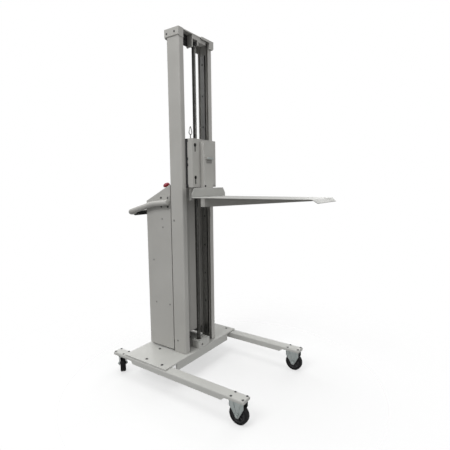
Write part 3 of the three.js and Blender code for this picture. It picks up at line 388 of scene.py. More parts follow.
def piece(name, shape, slot, body="frame", replaces=(), looks=None, bevel=0.0, segments=2):
    """Makes an object of a shape: its finishes, rounded edges, the body it rides on and what it stands for.
    Its look is its slot's own, unless looks names others."""
    bmesh.ops.remove_doubles(shape.mesh, verts=shape.mesh.verts, dist=1e-4)
    bmesh.ops.recalc_face_normals(shape.mesh, faces=shape.mesh.faces)
    shape.mesh.transform(TO_FRAME)
    mesh = bpy.data.meshes.new(name)
    shape.mesh.to_mesh(mesh)
    shape.mesh.free()
    mesh.shade_smooth()
    mesh.set_sharp_from_angle(angle=SHARP)
    made = bpy.data.objects.new(name, mesh)
    bpy.context.scene.collection.objects.link(made)
    for look in looks or [LOOKS[slot]]:
        mesh.materials.append(look)
    if bevel:
        round_edges(made, bevel, segments)
    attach(made, body)
    if replaces:
        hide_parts(*replaces)
    return made


def round_edges(thing, width, segments):
    """Rounds the sharp edges by a width in millimetres, and keeps the big faces flat to the light."""
    bevel = thing.modifiers.new("round_edges", "BEVEL")
    bevel.width = width * MM
    bevel.segments = segments
    bevel.limit_method = "ANGLE"
    bevel.angle_limit = SHARP
    bevel.use_clamp_overlap = True
    bevel.miter_outer = "MITER_ARC"
    weights = thing.modifiers.new("even_normals", "WEIGHTED_NORMAL")
    weights.keep_sharp = True


def smoothing_group():
    """A node group that drops stored normals and shades everything smooth, apart from sharp edges."""
    group = bpy.data.node_groups.new("smooth_shading", "GeometryNodeTree")
    group.interface.new_socket("Geometry", in_out="INPUT", socket_type="NodeSocketGeometry")
    group.interface.new_socket("Geometry", in_out="OUTPUT", socket_type="NodeSocketGeometry")
    new = group.nodes.new
    start = new("NodeGroupInput")
    end = new("NodeGroupOutput")
    forget = new("GeometryNodeRemoveAttribute")
    forget.inputs["Name"].default_value = "custom_normal"
    faces = new("GeometryNodeSetShadeSmooth")
    edges = new("GeometryNodeSetShadeSmooth")
    edges.domain = "EDGE"
    edges.inputs["Shade Smooth"].default_value = False
    angle = new("GeometryNodeInputMeshEdgeAngle")
    sharp = new("FunctionNodeCompare")
    sharp.data_type = "FLOAT"
    sharp.operation = "GREATER_THAN"
    sharp.inputs[1].default_value = SHARP
    link = group.links.new
    link(start.outputs[0], forget.inputs["Geometry"])
    link(forget.outputs["Geometry"], faces.inputs["Geometry"])
    link(faces.outputs["Geometry"], edges.inputs["Geometry"])
    link(angle.outputs["Unsigned Angle"], sharp.inputs[0])
    link(sharp.outputs["Result"], edges.inputs["Selection"])
    link(edges.outputs["Geometry"], end.inputs[0])
    return group


SMOOTHING = smoothing_group()


def dress(node, look, width, segments=2):
    """Gives a CAD node its finish, and rounds its edges with modifiers."""
    thing = frame["nodes"][node]
    thing.data.materials.clear()
    thing.data.materials.append(look)
    weld = thing.modifiers.new("weld", "WELD")
    weld.merge_threshold = 1e-5
    merge = thing.modifiers.new("merge_flat_faces", "DECIMATE")
    merge.decimate_type = "DISSOLVE"
    merge.angle_limit = math.radians(0.5)
    smooth = thing.modifiers.new("smooth_shading", "NODES")
    smooth.node_group = SMOOTHING
    if width:
        round_edges(thing, width, segments)


EDGE_WIDTHS = {
    "base_plate": 3.2, "mast_head": 1.4, "bottom_bearing_block": 2.0, "top_bearing_block": 1.4,
    "housing_shell": 1.2, "carriage_plate": 1.5, "hanger_bar": 2.0, "latch_plate": 1.2,
    "platform_tray": 1.0, "platform_beam": 1.6, "motor": 1.5, "motor_mount": 0.8,
    "leg_left": 1.4, "leg_right": 1.4, "mast_post_left": 1.2, "mast_post_right": 1.2,
}
OWN_LOOKS = {"platform_tray": powder_coat("tray_look", darker(PALE_GREY, 0.84))}
for slot_name, look in LOOKS.items():
    for part in frame["record"]["subparts"]:
        if part["material_slot"] == slot_name:
            dress(part["node"], OWN_LOOKS.get(part["node"], look), EDGE_WIDTHS.get(part["node"], 0.6))


# ---- fasteners
def hexagon_head(shape, at, direction, across, height, washer=True, turn=0.0):
    """A chamfered hexagon head on a washer, standing on a face."""
    place = facing(at, direction, turn)
    rise = 0.0
    if washer:
        rise = across * 0.12
        edge = across * 0.98
        shape.turned([(0, 0), (edge, 0), (edge, rise * 0.7), (across * 0.9, rise), (0, rise)], place, 28)
    corner = across / 2 / math.cos(math.pi / 6)
    top = rise + height
    rings = []
    for radius, z in ((corner, rise), (corner, top - height * 0.18), (corner * 0.88, top)):
        rings.append(shape.level(place, arc((0, 0), radius, 0, 300, 5), z))
    shape.skin(rings)
    shape.face(rings[0])
    shape.face(rings[-1])


def nut_and_end(shape, at, direction, across, height):
    """A hexagon nut with the end of its screw standing out."""
    hexagon_head(shape, at, direction, across, height)
    place = facing(at, direction)
    radius = across * 0.29
    top = across * 0.12 + height
    tip = top + height * 0.5
    end = [(radius, top - 1), (radius, top + height * 0.35), (radius * 0.8, tip), (0, tip)]
    shape.turned(end, place, 18)


def socket_head(shape, at, direction, radius, height, turn=0.0):
    """A domed button head with a hexagon socket."""
    place = facing(at, direction, turn)
    key = radius * 0.42
    dome = [(radius * math.cos(a), height * (0.2 + 0.8 * math.sin(a))) for a in (0.0, 0.5, 0.95)]
    sides = 24
    rings = []
    for r, z in [(radius, 0.0), *dome]:
        rings.append(shape.level(place, circle(r, sides), z))
    for z in (height, height * 0.3):
        points = []
        for i in range(sides):
            angle = 2 * math.pi * i / sides
            within = (angle % (math.pi / 3)) - math.pi / 6
            reach = key * math.cos(math.pi / 6) / math.cos(within)
            points.append(place @ Vector((reach * math.cos(angle), reach * math.sin(angle), z)))
        rings.append(shape.ring(points))
    shape.skin(rings)
    shape.face(rings[-1])
    shape.face(rings[0])


def pan_head(shape, at, direction, radius):
    """A low pan head with a round drive recess."""
    height = radius * 0.55
    profile = [
        (0, 0), (radius, 0), (radius, height * 0.45), (radius * 0.82, height * 0.85),
        (radius * 0.5, height), (radius * 0.34, height), (radius * 0.26, height * 0.45), (0, height * 0.4),
    ]
    shape.turned(profile, facing(at, direction), 24)


UP, DOWN = (0, 0, 1), (0, 0, -1)


def mirrored(spots):
    """Each spot on both sides: its side's sign, then the spot's own numbers."""
    return [(sign, *spot) for sign in (1, -1) for spot in spots]


def screws(name, draw, spots, *sizes, slot="dark_steel", body="frame", looks=None):
    """One piece of identical fasteners. Each spot is a point, a direction and, for some heads, a turn."""
    shape = Shape()
    for at, direction, *turn in spots:
        draw(shape, at, direction, *sizes, *turn)
    piece(name, shape, slot, body, looks=looks)


def weld_bead(shape, start, end, radius, ripple=3.2):
    """A seam of overlapping weld ripples between two points."""
    first, last = Vector(start), Vector(end)
    length = (last - first).length
    count = max(int(length / ripple) * 4, 8)
    points = [first.lerp(last, i / count) for i in range(count + 1)]
    shape.swept(points, lambda share: radius * (1 + 0.16 * math.cos(share * count / 4 * 2 * math.pi)), 10)


# ---- casters
WHEEL_RADIUS = Span("front_wheel_left").z[1] / 2
HUB_HALF = 17.5


def both_halves(profile):
    """A closed outline from its upper half: the same points below the middle, then above it."""
    return [(r, -h) for r, h in profile] + [(r, h) for r, h in reversed(profile)]


def wheel(name):
    """A black wheel: a crowned tyre on a ribbed plastic core, with a steel bearing seal on each face."""
    centre, axis = pivot(name + "_roll")
    place = facing(centre, axis)
    tread = WHEEL_RADIUS - 0.2
    half_tyre = [
        (35.6, 12.6), (37.2, 14.6), (39.0, 15.2), (42.5, 16.0), (44.5, 15.9), (46.8, 14.9), (48.6, 12.9),
        (tread - 0.45, 10.0), (tread - 0.1, 6.0), (tread, 3.0),
    ]
    tyre = Shape().turned(both_halves(half_tyre), place, 72, closed=True)
    piece(name + "_tyre", tyre, "wheel_rubber", name, [name])
    core = Shape()
    half_core = [
        (5.4, HUB_HALF - 1.2), (11.0, HUB_HALF - 1.2), (12.6, HUB_HALF - 2.2), (13.2, 8.5), (14.5, 6.6),
        (30.0, 5.4), (32.2, 6.4), (33.2, 12.4), (34.6, 13.4), (36.0, 12.9),
    ]
    core.turned(both_halves(half_core), place, 60, closed=True)
    for i in range(8):
        for side in (1, -1):
            spoke = place @ Matrix.Rotation(math.pi / 4 * (i + 0.25 * side), 4, "Z")
            rib = [(12.8, side * 5.0), (33.4, side * 5.0), (33.4, side * 11.0), (12.8, side * 13.4)]
            core.drawn(rib, 2.4, spoke @ Matrix.Rotation(math.pi / 2, 4, "X"), -1.2)
    piece(name + "_core", core, "black_plastic", name, bevel=0.5)
    seals = Shape()
    for side in (1, -1):
        ends = [(5.4, 15.5), (5.4, 17.1), (6.6, 17.4), (7.4, 16.9), (10.2, 16.9), (10.6, 16.2), (10.6, 15.5)]
        seals.turned([(r, side * h) for r, h in ends], place, 36, closed=True)
    piece(name + "_seals", seals, "zinc", name)


FORK_GAP = 18.0
FORK_SHEET = 2.5
EAR_RADIUS = 13.0


def fork_sides(shape, place, top, shoulder, ends, axle_along):
    """Both ears of a pressed fork, each with a bent rim, two raised ribs and a boss about the axle.
    The place's X axis is the axle's, its Y axis points along the fork and its Z axis up."""
    back, front = ends
    outer = FORK_GAP + FORK_SHEET
    lowest = arc((axle_along, WHEEL_RADIUS), EAR_RADIUS, 200, 340, 16)
    outline = [(back, top), (back, shoulder), *lowest, (front, shoulder), (front, top)]
    middle = (back + front) / 2
    rib_top, rib_low = top - 4, WHEEL_RADIUS + 12
    for side in (1, -1):
        upright = place @ Matrix(((0, 0, side, 0), (1, 0, 0, 0), (0, 1, 0, 0), (0, 0, 0, 1)))
        shape.drawn(outline, FORK_SHEET, upright, FORK_GAP)
        boss = place @ facing((side * outer, axle_along, WHEEL_RADIUS), (side, 0, 0))
        shape.turned([(0, -0.5), (10.8, -0.5), (9.6, 1.1), (0, 1.1)], boss, 32)
        for shift in (-1, 1):
            wide, narrow = middle + shift * (front - back) * 0.30, axle_along + shift * 6.6
            feet = [(narrow - 1.8, rib_low), (narrow + 1.8, rib_low)]
            rib = [(wide - 3.2, rib_top), *feet, (wide + 3.2, rib_top)]
            shape.drawn(rib, 1.9, upright, outer - 0.3)
        for edge_along, foot in ((back + 1.2, -1), (front - 1.2, 1)):
            foot_along = axle_along + foot * EAR_RADIUS * 0.92
            rim = [(edge_along, top), (edge_along, shoulder), (foot_along, WHEEL_RADIUS + 2)]
            points = [upright @ Vector((a, b, outer + 0.2)) for a, b in rim]
            shape.swept(points, 1.3, 8)


def mounting_plate(shape, place, top, rear=37.5):
    """A caster's top plate with rounded corners."""
    half_x, half_y, sheet = 25.5, 37.5, 3.0
    shape.drawn(rounded((-half_x, -half_y), (half_x, rear), 7), sheet, place, top - sheet)


BOLT_X, BOLT_Y = 20.0, 33.0
leg_span = {side: Span("leg_" + side) for side, _ in SIDES}
LEG_SHEET = 4.0
FORK_TOP = leg_span["left"].z[1] - LEG_SHEET - 0.3
KINGPIN_LOW = 109.5


def caster_screws(name, x, y):
    """Four button heads on top of the leg, over a caster's plate."""
    top = leg_span["left"].z[1]
    spots = [
        ((x + dx, y + dy, top), UP, dx * dy)
        for dx in (-BOLT_X, BOLT_X)
        for dy in (-BOLT_Y, BOLT_Y)
    ]
    screws(name, socket_head, spots, 6.4, 2.8, looks=[BLACKENED])


def axle(name, centre, axis, body, node):
    """The axle bolt: a hexagon head at one end, and a lock nut and its collar at the other."""
    shape = Shape()
    out = FORK_GAP + FORK_SHEET + 1.2
    head, tail = centre + axis * out, centre - axis * out
    shape.turned([(0, -out), (4.6, -out), (4.6, out), (0, out)], facing(centre, axis), 24)
    hexagon_head(shape, head, axis, 13.0, 4.2, True, 0.3)
    hexagon_head(shape, tail, -axis, 13.0, 3.4, True, 0.1)
    collar = facing(tail, -axis)
    shape.turned([(5.6, 4.6), (5.6, 6.0), (4.9, 6.6), (0, 6.6)], collar, 28)
    piece(name, shape, "zinc", body, [node], bevel=0.25)


for side, sign in SIDES:
    for name in ("front_wheel_" + side, "rear_wheel_" + side):
        wheel(name)

    centre, axis = pivot(f"front_wheel_{side}_roll")
    place = Matrix.Translation((centre.x, centre.y, 0))
    fork = Shape()
    mounting_plate(fork, place, FORK_TOP, 47.0)
    fork_sides(fork, place, FORK_TOP - 1, 90, (-35.5, 45), 0)
    piece("rigid_fork_" + side, fork, "zinc", replaces=["front_fork_" + side], bevel=0.7)
    axle("front_axle_bolt_" + side, centre, axis, "frame", "front_axle_" + side)
    caster_screws("front_caster_screws_" + side, centre.x, centre.y)

    swivel, _ = pivot(f"rear_caster_{side}_swivel")
    wheel_centre, axis = pivot(f"rear_wheel_{side}_roll")
    away = Vector((wheel_centre.x - swivel.x, wheel_centre.y - swivel.y, 0))
    trail = away.length
    turned = Matrix.Translation((swivel.x, swivel.y, 0)) @ away.to_track_quat("Y", "Z").to_matrix().to_4x4()
    crown_z = swivel.z
    fork = Shape()
    half = FORK_GAP + FORK_SHEET
    fork.drawn(rounded((-half, -24), (half, 34), 9), 3.5, turned, crown_z - 3.5)
    fork_sides(fork, turned, crown_z - 1, 104, (-20, 34), trail)
    race = turned @ Matrix.Translation((0, 0, crown_z))
    fork.turned([(13, -3.6), (26.5, -3.6), (26.5, -1.6), (25.2, -0.1), (13, -0.1)], race, 48, closed=True)
    fork_body = "rear_fork_" + side
    piece("swivel_fork_" + side, fork, "zinc", fork_body, [fork_body], bevel=0.7)
    axle("rear_axle_bolt_" + side, wheel_centre, axis, fork_body, "rear_axle_" + side)
    top_half = Shape()
    still = Matrix.Translation((swivel.x, swivel.y, 0))
    mounting_plate(top_half, still, FORK_TOP)
    cup = [
        (0, FORK_TOP - 2.8), (24.5, FORK_TOP - 2.8), (24.5, crown_z + 5), (23.2, crown_z + 1.6),
        (21.5, crown_z + 0.4), (6, crown_z + 0.4), (6, KINGPIN_LOW - 0.1), (0, KINGPIN_LOW - 0.1),
    ]
    top_half.turned(cup, still, 48)
    hexagon_head(top_half, (swivel.x, swivel.y, KINGPIN_LOW), (0, 0, -1), 14.0, 4.0, True, 0.4)
    piece("swivel_race_" + side, top_half, "zinc", replaces=["swivel_plate_" + side], bevel=0.4)
    caster_screws("rear_caster_screws_" + side, swivel.x, swivel.y)

# ---- base
plate_span = Span("base_plate")
deck = plate_span.z[1]
spots = [((sign * x, y, deck), UP, x) for sign, x, y in mirrored(((172, 135), (306, 105), (308, -16)))]
screws("deck_screws", socket_head, spots, 8.0, 3.4, looks=[BLACKENED])
spots = [((sign * 172, 135, deck - 8), DOWN) for sign in (1, -1)]
screws("deck_nuts", nut_and_end, spots, 13.0, 5.0, slot="zinc")

# ---- lead screw, nut, pulleys and belt
screw_span = Span("lead_screw")
screw_centre, _ = pivot("screw_turn")
THREAD_PITCH = 5.0
THREAD_STARTS = 4
THREAD_SIDES = 24
THREAD_PROFILE = ((0.0, 11.3), (0.36, 11.3), (0.5, 9.5), (0.86, 9.5))
JOURNAL = 7.9


def threaded_bar(shape, centre, low, high):
    """A four-start trapezoidal thread. Its rows of points run along the thread, so its crests are clean."""
    lead = THREAD_PITCH * THREAD_STARTS
    per_turn = THREAD_STARTS * len(THREAD_PROFILE)
    turns = math.ceil((high - low) / lead) + 2
    columns = []
    for side in range(THREAD_SIDES + 1):
        angle = 2 * math.pi * side / THREAD_SIDES
        column = []
        for row in range(turns * per_turn):
            share, radius = THREAD_PROFILE[row % len(THREAD_PROFILE)]
            z = low - lead + THREAD_PITCH * (row // len(THREAD_PROFILE) + share) + lead * side / THREAD_SIDES
            inside = low < z < high
            reach = radius if inside else JOURNAL
            flat = (centre.x + reach * math.cos(angle), centre.y + reach * math.sin(angle))
            column.append((*flat, min(max(z, low), high)))
        columns.append(column)
    rows = list(zip(*columns))
    rings = [shape.ring(row) for row in rows]
    shape.skin(rings, round_again=False)


screw = Shape()
web = Span("top_bearing_block")
thread_low, thread_high = Span("bottom_bearing_block").z[1] + 8, web.z[0] + 22
threaded_bar(screw, screw_centre, thread_low, thread_high)
shaft = Matrix.Translation((screw_centre.x, screw_centre.y, 0))
foot, crest = screw_span.z
lower_end = [(0, foot), (7, foot), (JOURNAL, foot + 1), (JOURNAL, thread_low + 0.5)]
upper_end = [(JOURNAL, thread_high - 0.5), (JOURNAL, crest - 1), (7, crest), (0, crest)]
screw.turned(lower_end, shaft, THREAD_SIDES)
screw.turned(upper_end, shaft, THREAD_SIDES)
collar = [(8.2, thread_low - 6), (11.3, thread_low - 6), (11.3, thread_low), (8.2, thread_low)]
screw.turned(collar, shaft, 32, closed=True)
screw_look = plated_steel("screw_look", (0.18, 0.178, 0.165), 0.36, ALONG_X, (0.12, 0.118, 0.11))
piece("threaded_lead_screw", screw, "dark_steel", "screw", ["lead_screw"], looks=[screw_look])

belt_span = Span("drive_belt")
motor_centre, _ = pivot("motor_turn")
SCREW_PULLEY = 27.0
MOTOR_PULLEY = 18.0
TOOTH = 5.0


def toothed_ring(radius, inner_step):
    """A pulley's toothed outline: lands at the radius, with a groove between each two."""
    count = round(2 * math.pi * radius / TOOTH)
    points = []
    for i in range(count):
        for share, depth in ((0.0, 0.0), (0.45, 0.0), (0.58, inner_step), (0.87, inner_step)):
            angle = 2 * math.pi * (i + share) / count
            points.append(((radius - depth) * math.cos(angle), (radius - depth) * math.sin(angle)))
    return points


def toothed_pulley(shape, centre, radius, bore):
    """A toothed pulley between two flanges, with a short boss below."""
    low, high = belt_span.z
    place = Matrix.Translation((centre.x, centre.y, 0))
    shape.drawn(toothed_ring(radius, 1.3), high - low + 1, place, low - 0.5)
    for z0, z1 in ((low - 2, low - 0.5), (high + 0.5, high + 2)):
        shape.turned([(bore, z0), (radius + 2.4, z0), (radius + 3, z0 + 0.4), (radius + 2.0, z1), (bore, z1)],
                     place, 48, closed=True)
    boss = [(bore, low - 2), (bore + 5, low - 2), (bore + 5, low - 2.9), (bore, low - 2.9)]
    shape.turned(boss, place, 32, closed=True)


pulley = Shape()
toothed_pulley(pulley, screw_centre, SCREW_PULLEY, 8.3)
piece("toothed_screw_pulley", pulley, "dark_steel", "screw", ["screw_pulley"], bevel=0.2, segments=1)

rotor_span = Span("motor_pulley")
rotor = Shape()
toothed_pulley(rotor, motor_centre, MOTOR_PULLEY, 7.0)
spindle = Matrix.Translation((motor_centre.x, motor_centre.y, 0))
low, high = rotor_span.z
rotor.turned([(0, low), (6.2, low), (6.9, low + 0.8), (6.9, high - 0.8), (6.2, high), (0, high)], spindle, 32)
piece("toothed_motor_pulley", rotor, "steel", "motor_rotor", ["motor_pulley"], bevel=0.2, segments=1)


def belt_loop(offset_at):
    """A closed line about both pulleys. offset_at gives the distance off the pulleys' faces along the line."""
    run = motor_centre.y - screw_centre.y
    lean = math.asin((SCREW_PULLEY - MOTOR_PULLEY) / run)
    straight = run * math.cos(lean)
    stretches = [
        ("arc", motor_centre.y, MOTOR_PULLEY, lean, math.pi - lean),
        ("line", motor_centre.y, MOTOR_PULLEY, math.pi - lean, straight),
        ("arc", screw_centre.y, SCREW_PULLEY, math.pi - lean, 2 * math.pi + lean),
        ("line", screw_centre.y, SCREW_PULLEY, lean, straight),
    ]
    points = []
    for kind, y, radius, first, second in stretches:
        length = radius * (second - first) if kind == "arc" else straight
        teeth = round(length / TOOTH)
        count = teeth * 4
        for step in range(count):
            share = step / count
            offset = offset_at(share * teeth % 1)
            if kind == "arc":
                angle = first + (second - first) * share
                points.append(((radius + offset) * math.cos(angle), y + (radius + offset) * math.sin(angle)))
            else:
                outward = Vector((math.cos(first), math.sin(first)))
                along = Vector((-outward.y, outward.x)) * (second * share)
                at = Vector((0, y)) + outward * (radius + offset) + along
                points.append((at.x, at.y))
    return points


outer_line = belt_loop(lambda share: 2.3)
inner_line = belt_loop(lambda share: 0.2 if 0.3 < share < 0.8 else 1.1)
belt = Shape()
rings = [
    belt.ring((x, y, z) for x, y in line)
    for line, z in zip((outer_line, outer_line, inner_line, inner_line), (*belt_span.z, *belt_span.z[::-1]))
]
belt.skin(rings, closed=True)
piece("toothed_drive_belt", belt, "soft_rubber", replaces=["drive_belt"])

nut_span = Span("screw_nut")
nut = Shape()
nut_radius = 18.0
flange_low = nut_span.z[1] - 9.5
bore = 12.0
nut.turned([
    (bore, nut_span.z[0] + 1.2), (bore + 1.2, nut_span.z[0]), (nut_radius - 1, nut_span.z[0]),
    (nut_radius, nut_span.z[0] + 1), (nut_radius, flange_low), (28.4, flange_low), (29, flange_low + 0.8),
    (29, nut_span.z[1] - 1), (28, nut_span.z[1]), (bore + 1.2, nut_span.z[1]), (bore, nut_span.z[1] - 1.2),
], shaft, 48, closed=True)
piece("bronze_screw_nut", nut, "bronze", "carriage", ["screw_nut"])
spots = []
for i in range(4):
    angle = math.pi / 4 + math.pi / 2 * i
    at = (23 * math.cos(angle), screw_centre.y + 23 * math.sin(angle), nut_span.z[1])
    spots.append((at, UP, angle))
screws("nut_screws", socket_head, spots, 3.6, 3.0, body="carriage")

# ---- mast
post_x = Span("mast_post_left").x
head_span = Span("mast_head")
POST_FACE = post_x[1]
# A darker coat: the colour of the post and housing screws, and also of the painted shadow under the lug.
dark_coat_and_shadow_look = powder_coat("dark_coat_and_shadow_look", darker(COAT_GREY, 0.5))
spots = [((sign * POST_FACE, y, z), (sign, 0, 0), z) for sign, y, z in mirrored(((20, 922), (14, 217)))]
screws("post_screws", socket_head, spots, 6.0, 2.4, slot="powder_coat", looks=[dark_coat_and_shadow_look])
head_side = head_span.x[1]
spots = [((sign * head_side, y, z), (sign, 0, 0)) for sign, y, z in mirrored(((-18, 1928), (36, 1926)))]
screws("head_screws", pan_head, spots, 4.8, looks=[BLACKENED])

rail = Span("guide_rail_left")
first_hole, pitch = 208, 180
holes = [(z,) for z in range(first_hole, math.ceil(rail.z[1] - 20), pitch)]
rail_y = sum(rail.y) / 2
spots = [((sign * rail.x[0], rail_y, z), (-sign, 0, 0), z) for sign, z in mirrored(holes)]
screws("rail_screws", socket_head, spots, 5.2, 2.4, looks=[BLACKENED])

web_face = -1.0
holes = ((-88, 1902), (-60, 1902), (-88, 1932), (-60, 1932))
spots = [((x, web_face - 8, z), (0, -1, 0), x) for x, z in holes]
screws("top_bearing_bolts", hexagon_head, spots, 9.0, 6.0, True)
skirt = Shape().block((-31.5, -25), (-43, -1), (web.z[0] - 12, web.z[0] + 8.2))
piece("bearing_skirt", skirt, "powder_coat", bevel=0.8)
spots = [((-28, y, web.z[0] - 12), DOWN, y) for y in (-33, -10)]
screws("bearing_skirt_screws", hexagon_head, spots, 3.4, 3.6, False, looks=[BLACKENED])
# Painted shade: black rubber sheets on the web's face beside the bearing block, where the recess lies in deep
# shade.
web_shade = Shape()
web_shade.block((-102, -32), (web_face - 8, web_face - 0.2), (web.z[0] - 4, web.z[1] - 2))
web_shade.block((66, 102), (web_face - 12, web_face - 0.2), (web.z[1] - 20, web.z[1] - 2))
piece("upper_bumper", web_shade, "soft_rubber", bevel=1.5)
low, high = web.z[0] + 4, web.z[0] + 22
ring_profile = [(8.3, low), (13.0, low), (14.0, low + 1), (14.0, high - 1), (13.0, high), (8.3, high)]
stop_ring = Shape().turned(ring_profile, shaft, 40, closed=True)
piece("upper_stop_ring", stop_ring, "soft_rubber", "screw")

low_block = Span("bottom_bearing_block")
top = low_block.z[1]
spots = [((x, y, top), UP, x) for x, y in ((-28, -12), (50, -12), (-28, -54), (50, -54))]
screws("bottom_bearing_screws", socket_head, spots, 4.6, 2.2, slot="zinc")
lip = [(8.3, top - 5), (14.6, top - 5), (14.6, top - 2.4), (12.4, top - 1.4), (8.3, top - 2.0)]
dust_seal = Shape().turned(lip, shaft, 40, closed=True)
piece("bottom_dust_seal", dust_seal, "soft_rubber")

# ---- carriage and platform
pin_span = Span("lock_pin")
PIN_X, PIN_Y = pin_span.centre.x, pin_span.centre.y
lock = Shape()
pin_radius, wire = 3.5, 2.4
loop_low, loop_high, belly_half = 1394.0, pin_span.z[1], 12.0
belly_z, tip_z = loop_low + belly_half + 2.2, loop_high - belly_half / 2
belly = arc((0, belly_z), belly_half, 160, 380, 30)
tip = arc((0, tip_z), belly_half / 2 - 2.2, 20, 160, 10)
loop = [(PIN_X + a, PIN_Y, b) for a, b in (*belly, *tip)]
lock.swept(loop, wire, 14, closed=True)
stem = Matrix.Translation((PIN_X, PIN_Y, 0))
pin_low = pin_span.z[0]
lock.turned([
    (0, pin_low), (pin_radius - 1.2, pin_low), (pin_radius, pin_low + 2.5),
    (pin_radius, loop_low - 3), (pin_radius - 0.8, loop_low + 1), (0, loop_low + 2),
], stem, 24)
pin_look = plated_steel("pin_look", (0.34, 0.34, 0.33), 0.42, ALONG_Z, (0.26, 0.26, 0.25))
piece("pull_pin", lock, "zinc", "lock_pin", ["lock_pin"], looks=[pin_look])

carriage = Span("carriage_plate")
bar = Span("hanger_bar")
tray = Span("platform_tray")
beam = Span("platform_beam")

# Painted shade: black sheets behind the keyholes of the carriage's front plate, standing in for the shade seen
# through them.
keyhole_shade = Shape()
for z in (1170, 1346):
    for sign in (1, -1):
        across = sorted((sign * 66, sign * 96))
        keyhole_shade.block(across, (carriage.y[0] + 6, carriage.y[0] + 8), (z - 54, z + 16))
piece("keyhole_liners", keyhole_shade, "soft_rubber", "carriage", bevel=0.4)

# Black glide strips and tabs on the carriage's sides; they also stand in for the painted shade in the gap between
# the carriage and the posts.
glide_strips_and_shade = Shape()
glide_x = (carriage.x[1] + 0.05, carriage.x[1] + 2.2)
for sign in (1, -1):
    across = sorted((sign * glide_x[0], sign * glide_x[1]))
    glide_strips_and_shade.block(across, (-56, -36), (carriage.z[0], carriage.z[1]))
    for z in (carriage.z[0] + 8, 1232, 1264, carriage.z[1] - 9):
        glide_strips_and_shade.block(across, (-60, -56), (z - 8, z + 8))
piece("carriage_wipers", glide_strips_and_shade, "black_plastic", "carriage", bevel=0.4)

seams = Shape()
for sign in (1, -1):
    x = sign * (bar.x[1] + 0.4)
    weld_bead(seams, (x, tray.y[1] - 3, bar.z[0] + 4), (x, tray.y[1] - 3, beam.z[1] - 4), 2.2)
    weld_bead(seams, (x, tray.y[1] - 14, beam.z[1] - 0.6), (x, tray.y[0] + 90, beam.z[1] - 0.6), 1.6)
    foot_x, foot_y = x * 1.01, carriage.y[0] - 0.8
    weld_bead(seams, (foot_x, foot_y, carriage.z[0] + 6), (foot_x, foot_y, carriage.z[0] + 60), 1.8)
piece("platform_welds", seams, "powder_coat", "carriage")

bar_face = bar.y[0] + 10
# Painted shadow: two small dark blocks on the bar's face at its lower edge, where shade falls in the gap above the
# tray's lip.
gap_shadows = Shape().block((-38, -26), (bar_face - 1.5, bar_face + 0.2), (1110, 1119))
piece("rubber_stops", gap_shadows, "soft_rubber", "carriage", bevel=0.6)
# Painted shadow: a dark patch on the bar's face just under the lug, where the lug's shade falls.
lug_pad = Shape().block((-21, 29), (bar_face - 2.0, bar_face + 0.2), (1242, 1261))
piece("lug_pad", lug_pad, "powder_coat", "carriage", looks=[dark_coat_and_shadow_look], bevel=1.6)
# Painted highlight: a bright zinc strip on the lug's front edge, where light catches it.
lug_highlight = Shape().block((-23, 33), (bar.y[0] - 1.0, bar.y[0] + 0.2), (1264, 1274))
piece("lug_wear_strip", lug_highlight, "zinc", "carriage", bevel=0.4)

# ---- control panel
panel = Span("control_panel")
shell = Span("housing_shell")
normal = Vector(JOINTS["key_turn"]["axis"]).normalized()
downhill = Vector((0, normal.z, -normal.y))
key_point = FROM_FRAME @ Vector(JOINTS["key_turn"]["pos_m"])


def on_panel(x, y, turn=0.0):
    """A place on the panel's slanted face, with Z along its normal and Y up its slope."""
    along = (y - key_point.y) / downhill.y
    at = Vector((x, key_point.y, key_point.z)) + downhill * along
    across = Vector((1, 0, 0))
    basis = Matrix((across, normal.cross(across), normal)).transposed().to_4x4()
    return Matrix.Translation(at) @ basis @ Matrix.Rotation(turn, 4, "Z")


def panel_point(node):
    """Where a panel item's middle lies in x and y, from its CAD node."""
    span = Span(node)
    return span.centre.x, span.centre.y


estop_x, estop_y = panel_point("estop_base")
head = Shape()
head.turned([
    (0, -12), (7.6, -12), (7.6, 11), (9.5, 13.5), (15.5, 15.2), (18.6, 16.6), (19.6, 19.5), (19.2, 24.0),
    (17.4, 28.6), (13.6, 32.0), (8.0, 34.0), (0, 34.6),
], on_panel(estop_x, estop_y - 2.0), 56)
for i in range(20):
    angle = 2 * math.pi * i / 20
    place = on_panel(estop_x, estop_y - 2.0, angle)
    head.drawn(rounded((18.6, -1.1), (20.1, 1.1), 0.6, 3), 6.0, place, 17.6)
piece("mushroom_head", head, "crimson", "estop_button", ["estop_button"])
collar = Shape()
collar.turned([(8.6, -8), (11, -8), (11, 0.4), (14.2, 0.4), (15, 1.2), (15, 3.2), (13.6, 4.6), (8.6, 4.6)],
              on_panel(estop_x, estop_y - 2.0), 48, closed=True)
piece("estop_collar", collar, "black_plastic", replaces=["estop_base"])
guard = Shape()
disc = [(15.4, 0.0), (24, 0.0), (24, 1.2), (23.2, 1.8), (15.4, 1.8)]
guard.turned(disc, on_panel(estop_x, estop_y - 2.0), 48, closed=True)
piece("estop_ring", guard, "black_plastic", looks=[YELLOW])


def arrow(shape, place, up, height):
    """A plain raised triangle that points up or down the slope."""
    tip = 4.4 if up else -4.4
    outline = [(0, tip), (-3.8, -tip * 0.55), (3.8, -tip * 0.55)]
    shape.drawn(outline, 0.5, place, height)


for name, up in (("up_button", True), ("down_button", False)):
    x, y = panel_point(name)
    y -= 0.4
    cap = Shape()
    dish = [(0, -14), (7.8, -14), (7.8, 4.6), (7.2, 5.8), (6.0, 6.3), (3.0, 6.0), (0, 5.9)]
    cap.turned(dish, on_panel(x, y), 40)
    piece(name + "_cap", cap, "green" if up else "red", name, [name])
    mark = Shape()
    arrow(mark, on_panel(x, y), up, 5.9)
    piece(name + "_arrow", mark, "pale_coat", name)
    bezel = Shape()
    rim = [(8.6, 0), (12.6, 0), (12.6, 2.6), (11.6, 3.9), (9.4, 4.3), (8.6, 3.6)]
    bezel.turned(rim, on_panel(x, y), 44, closed=True)
    piece(name + "_bezel", bezel, "zinc")

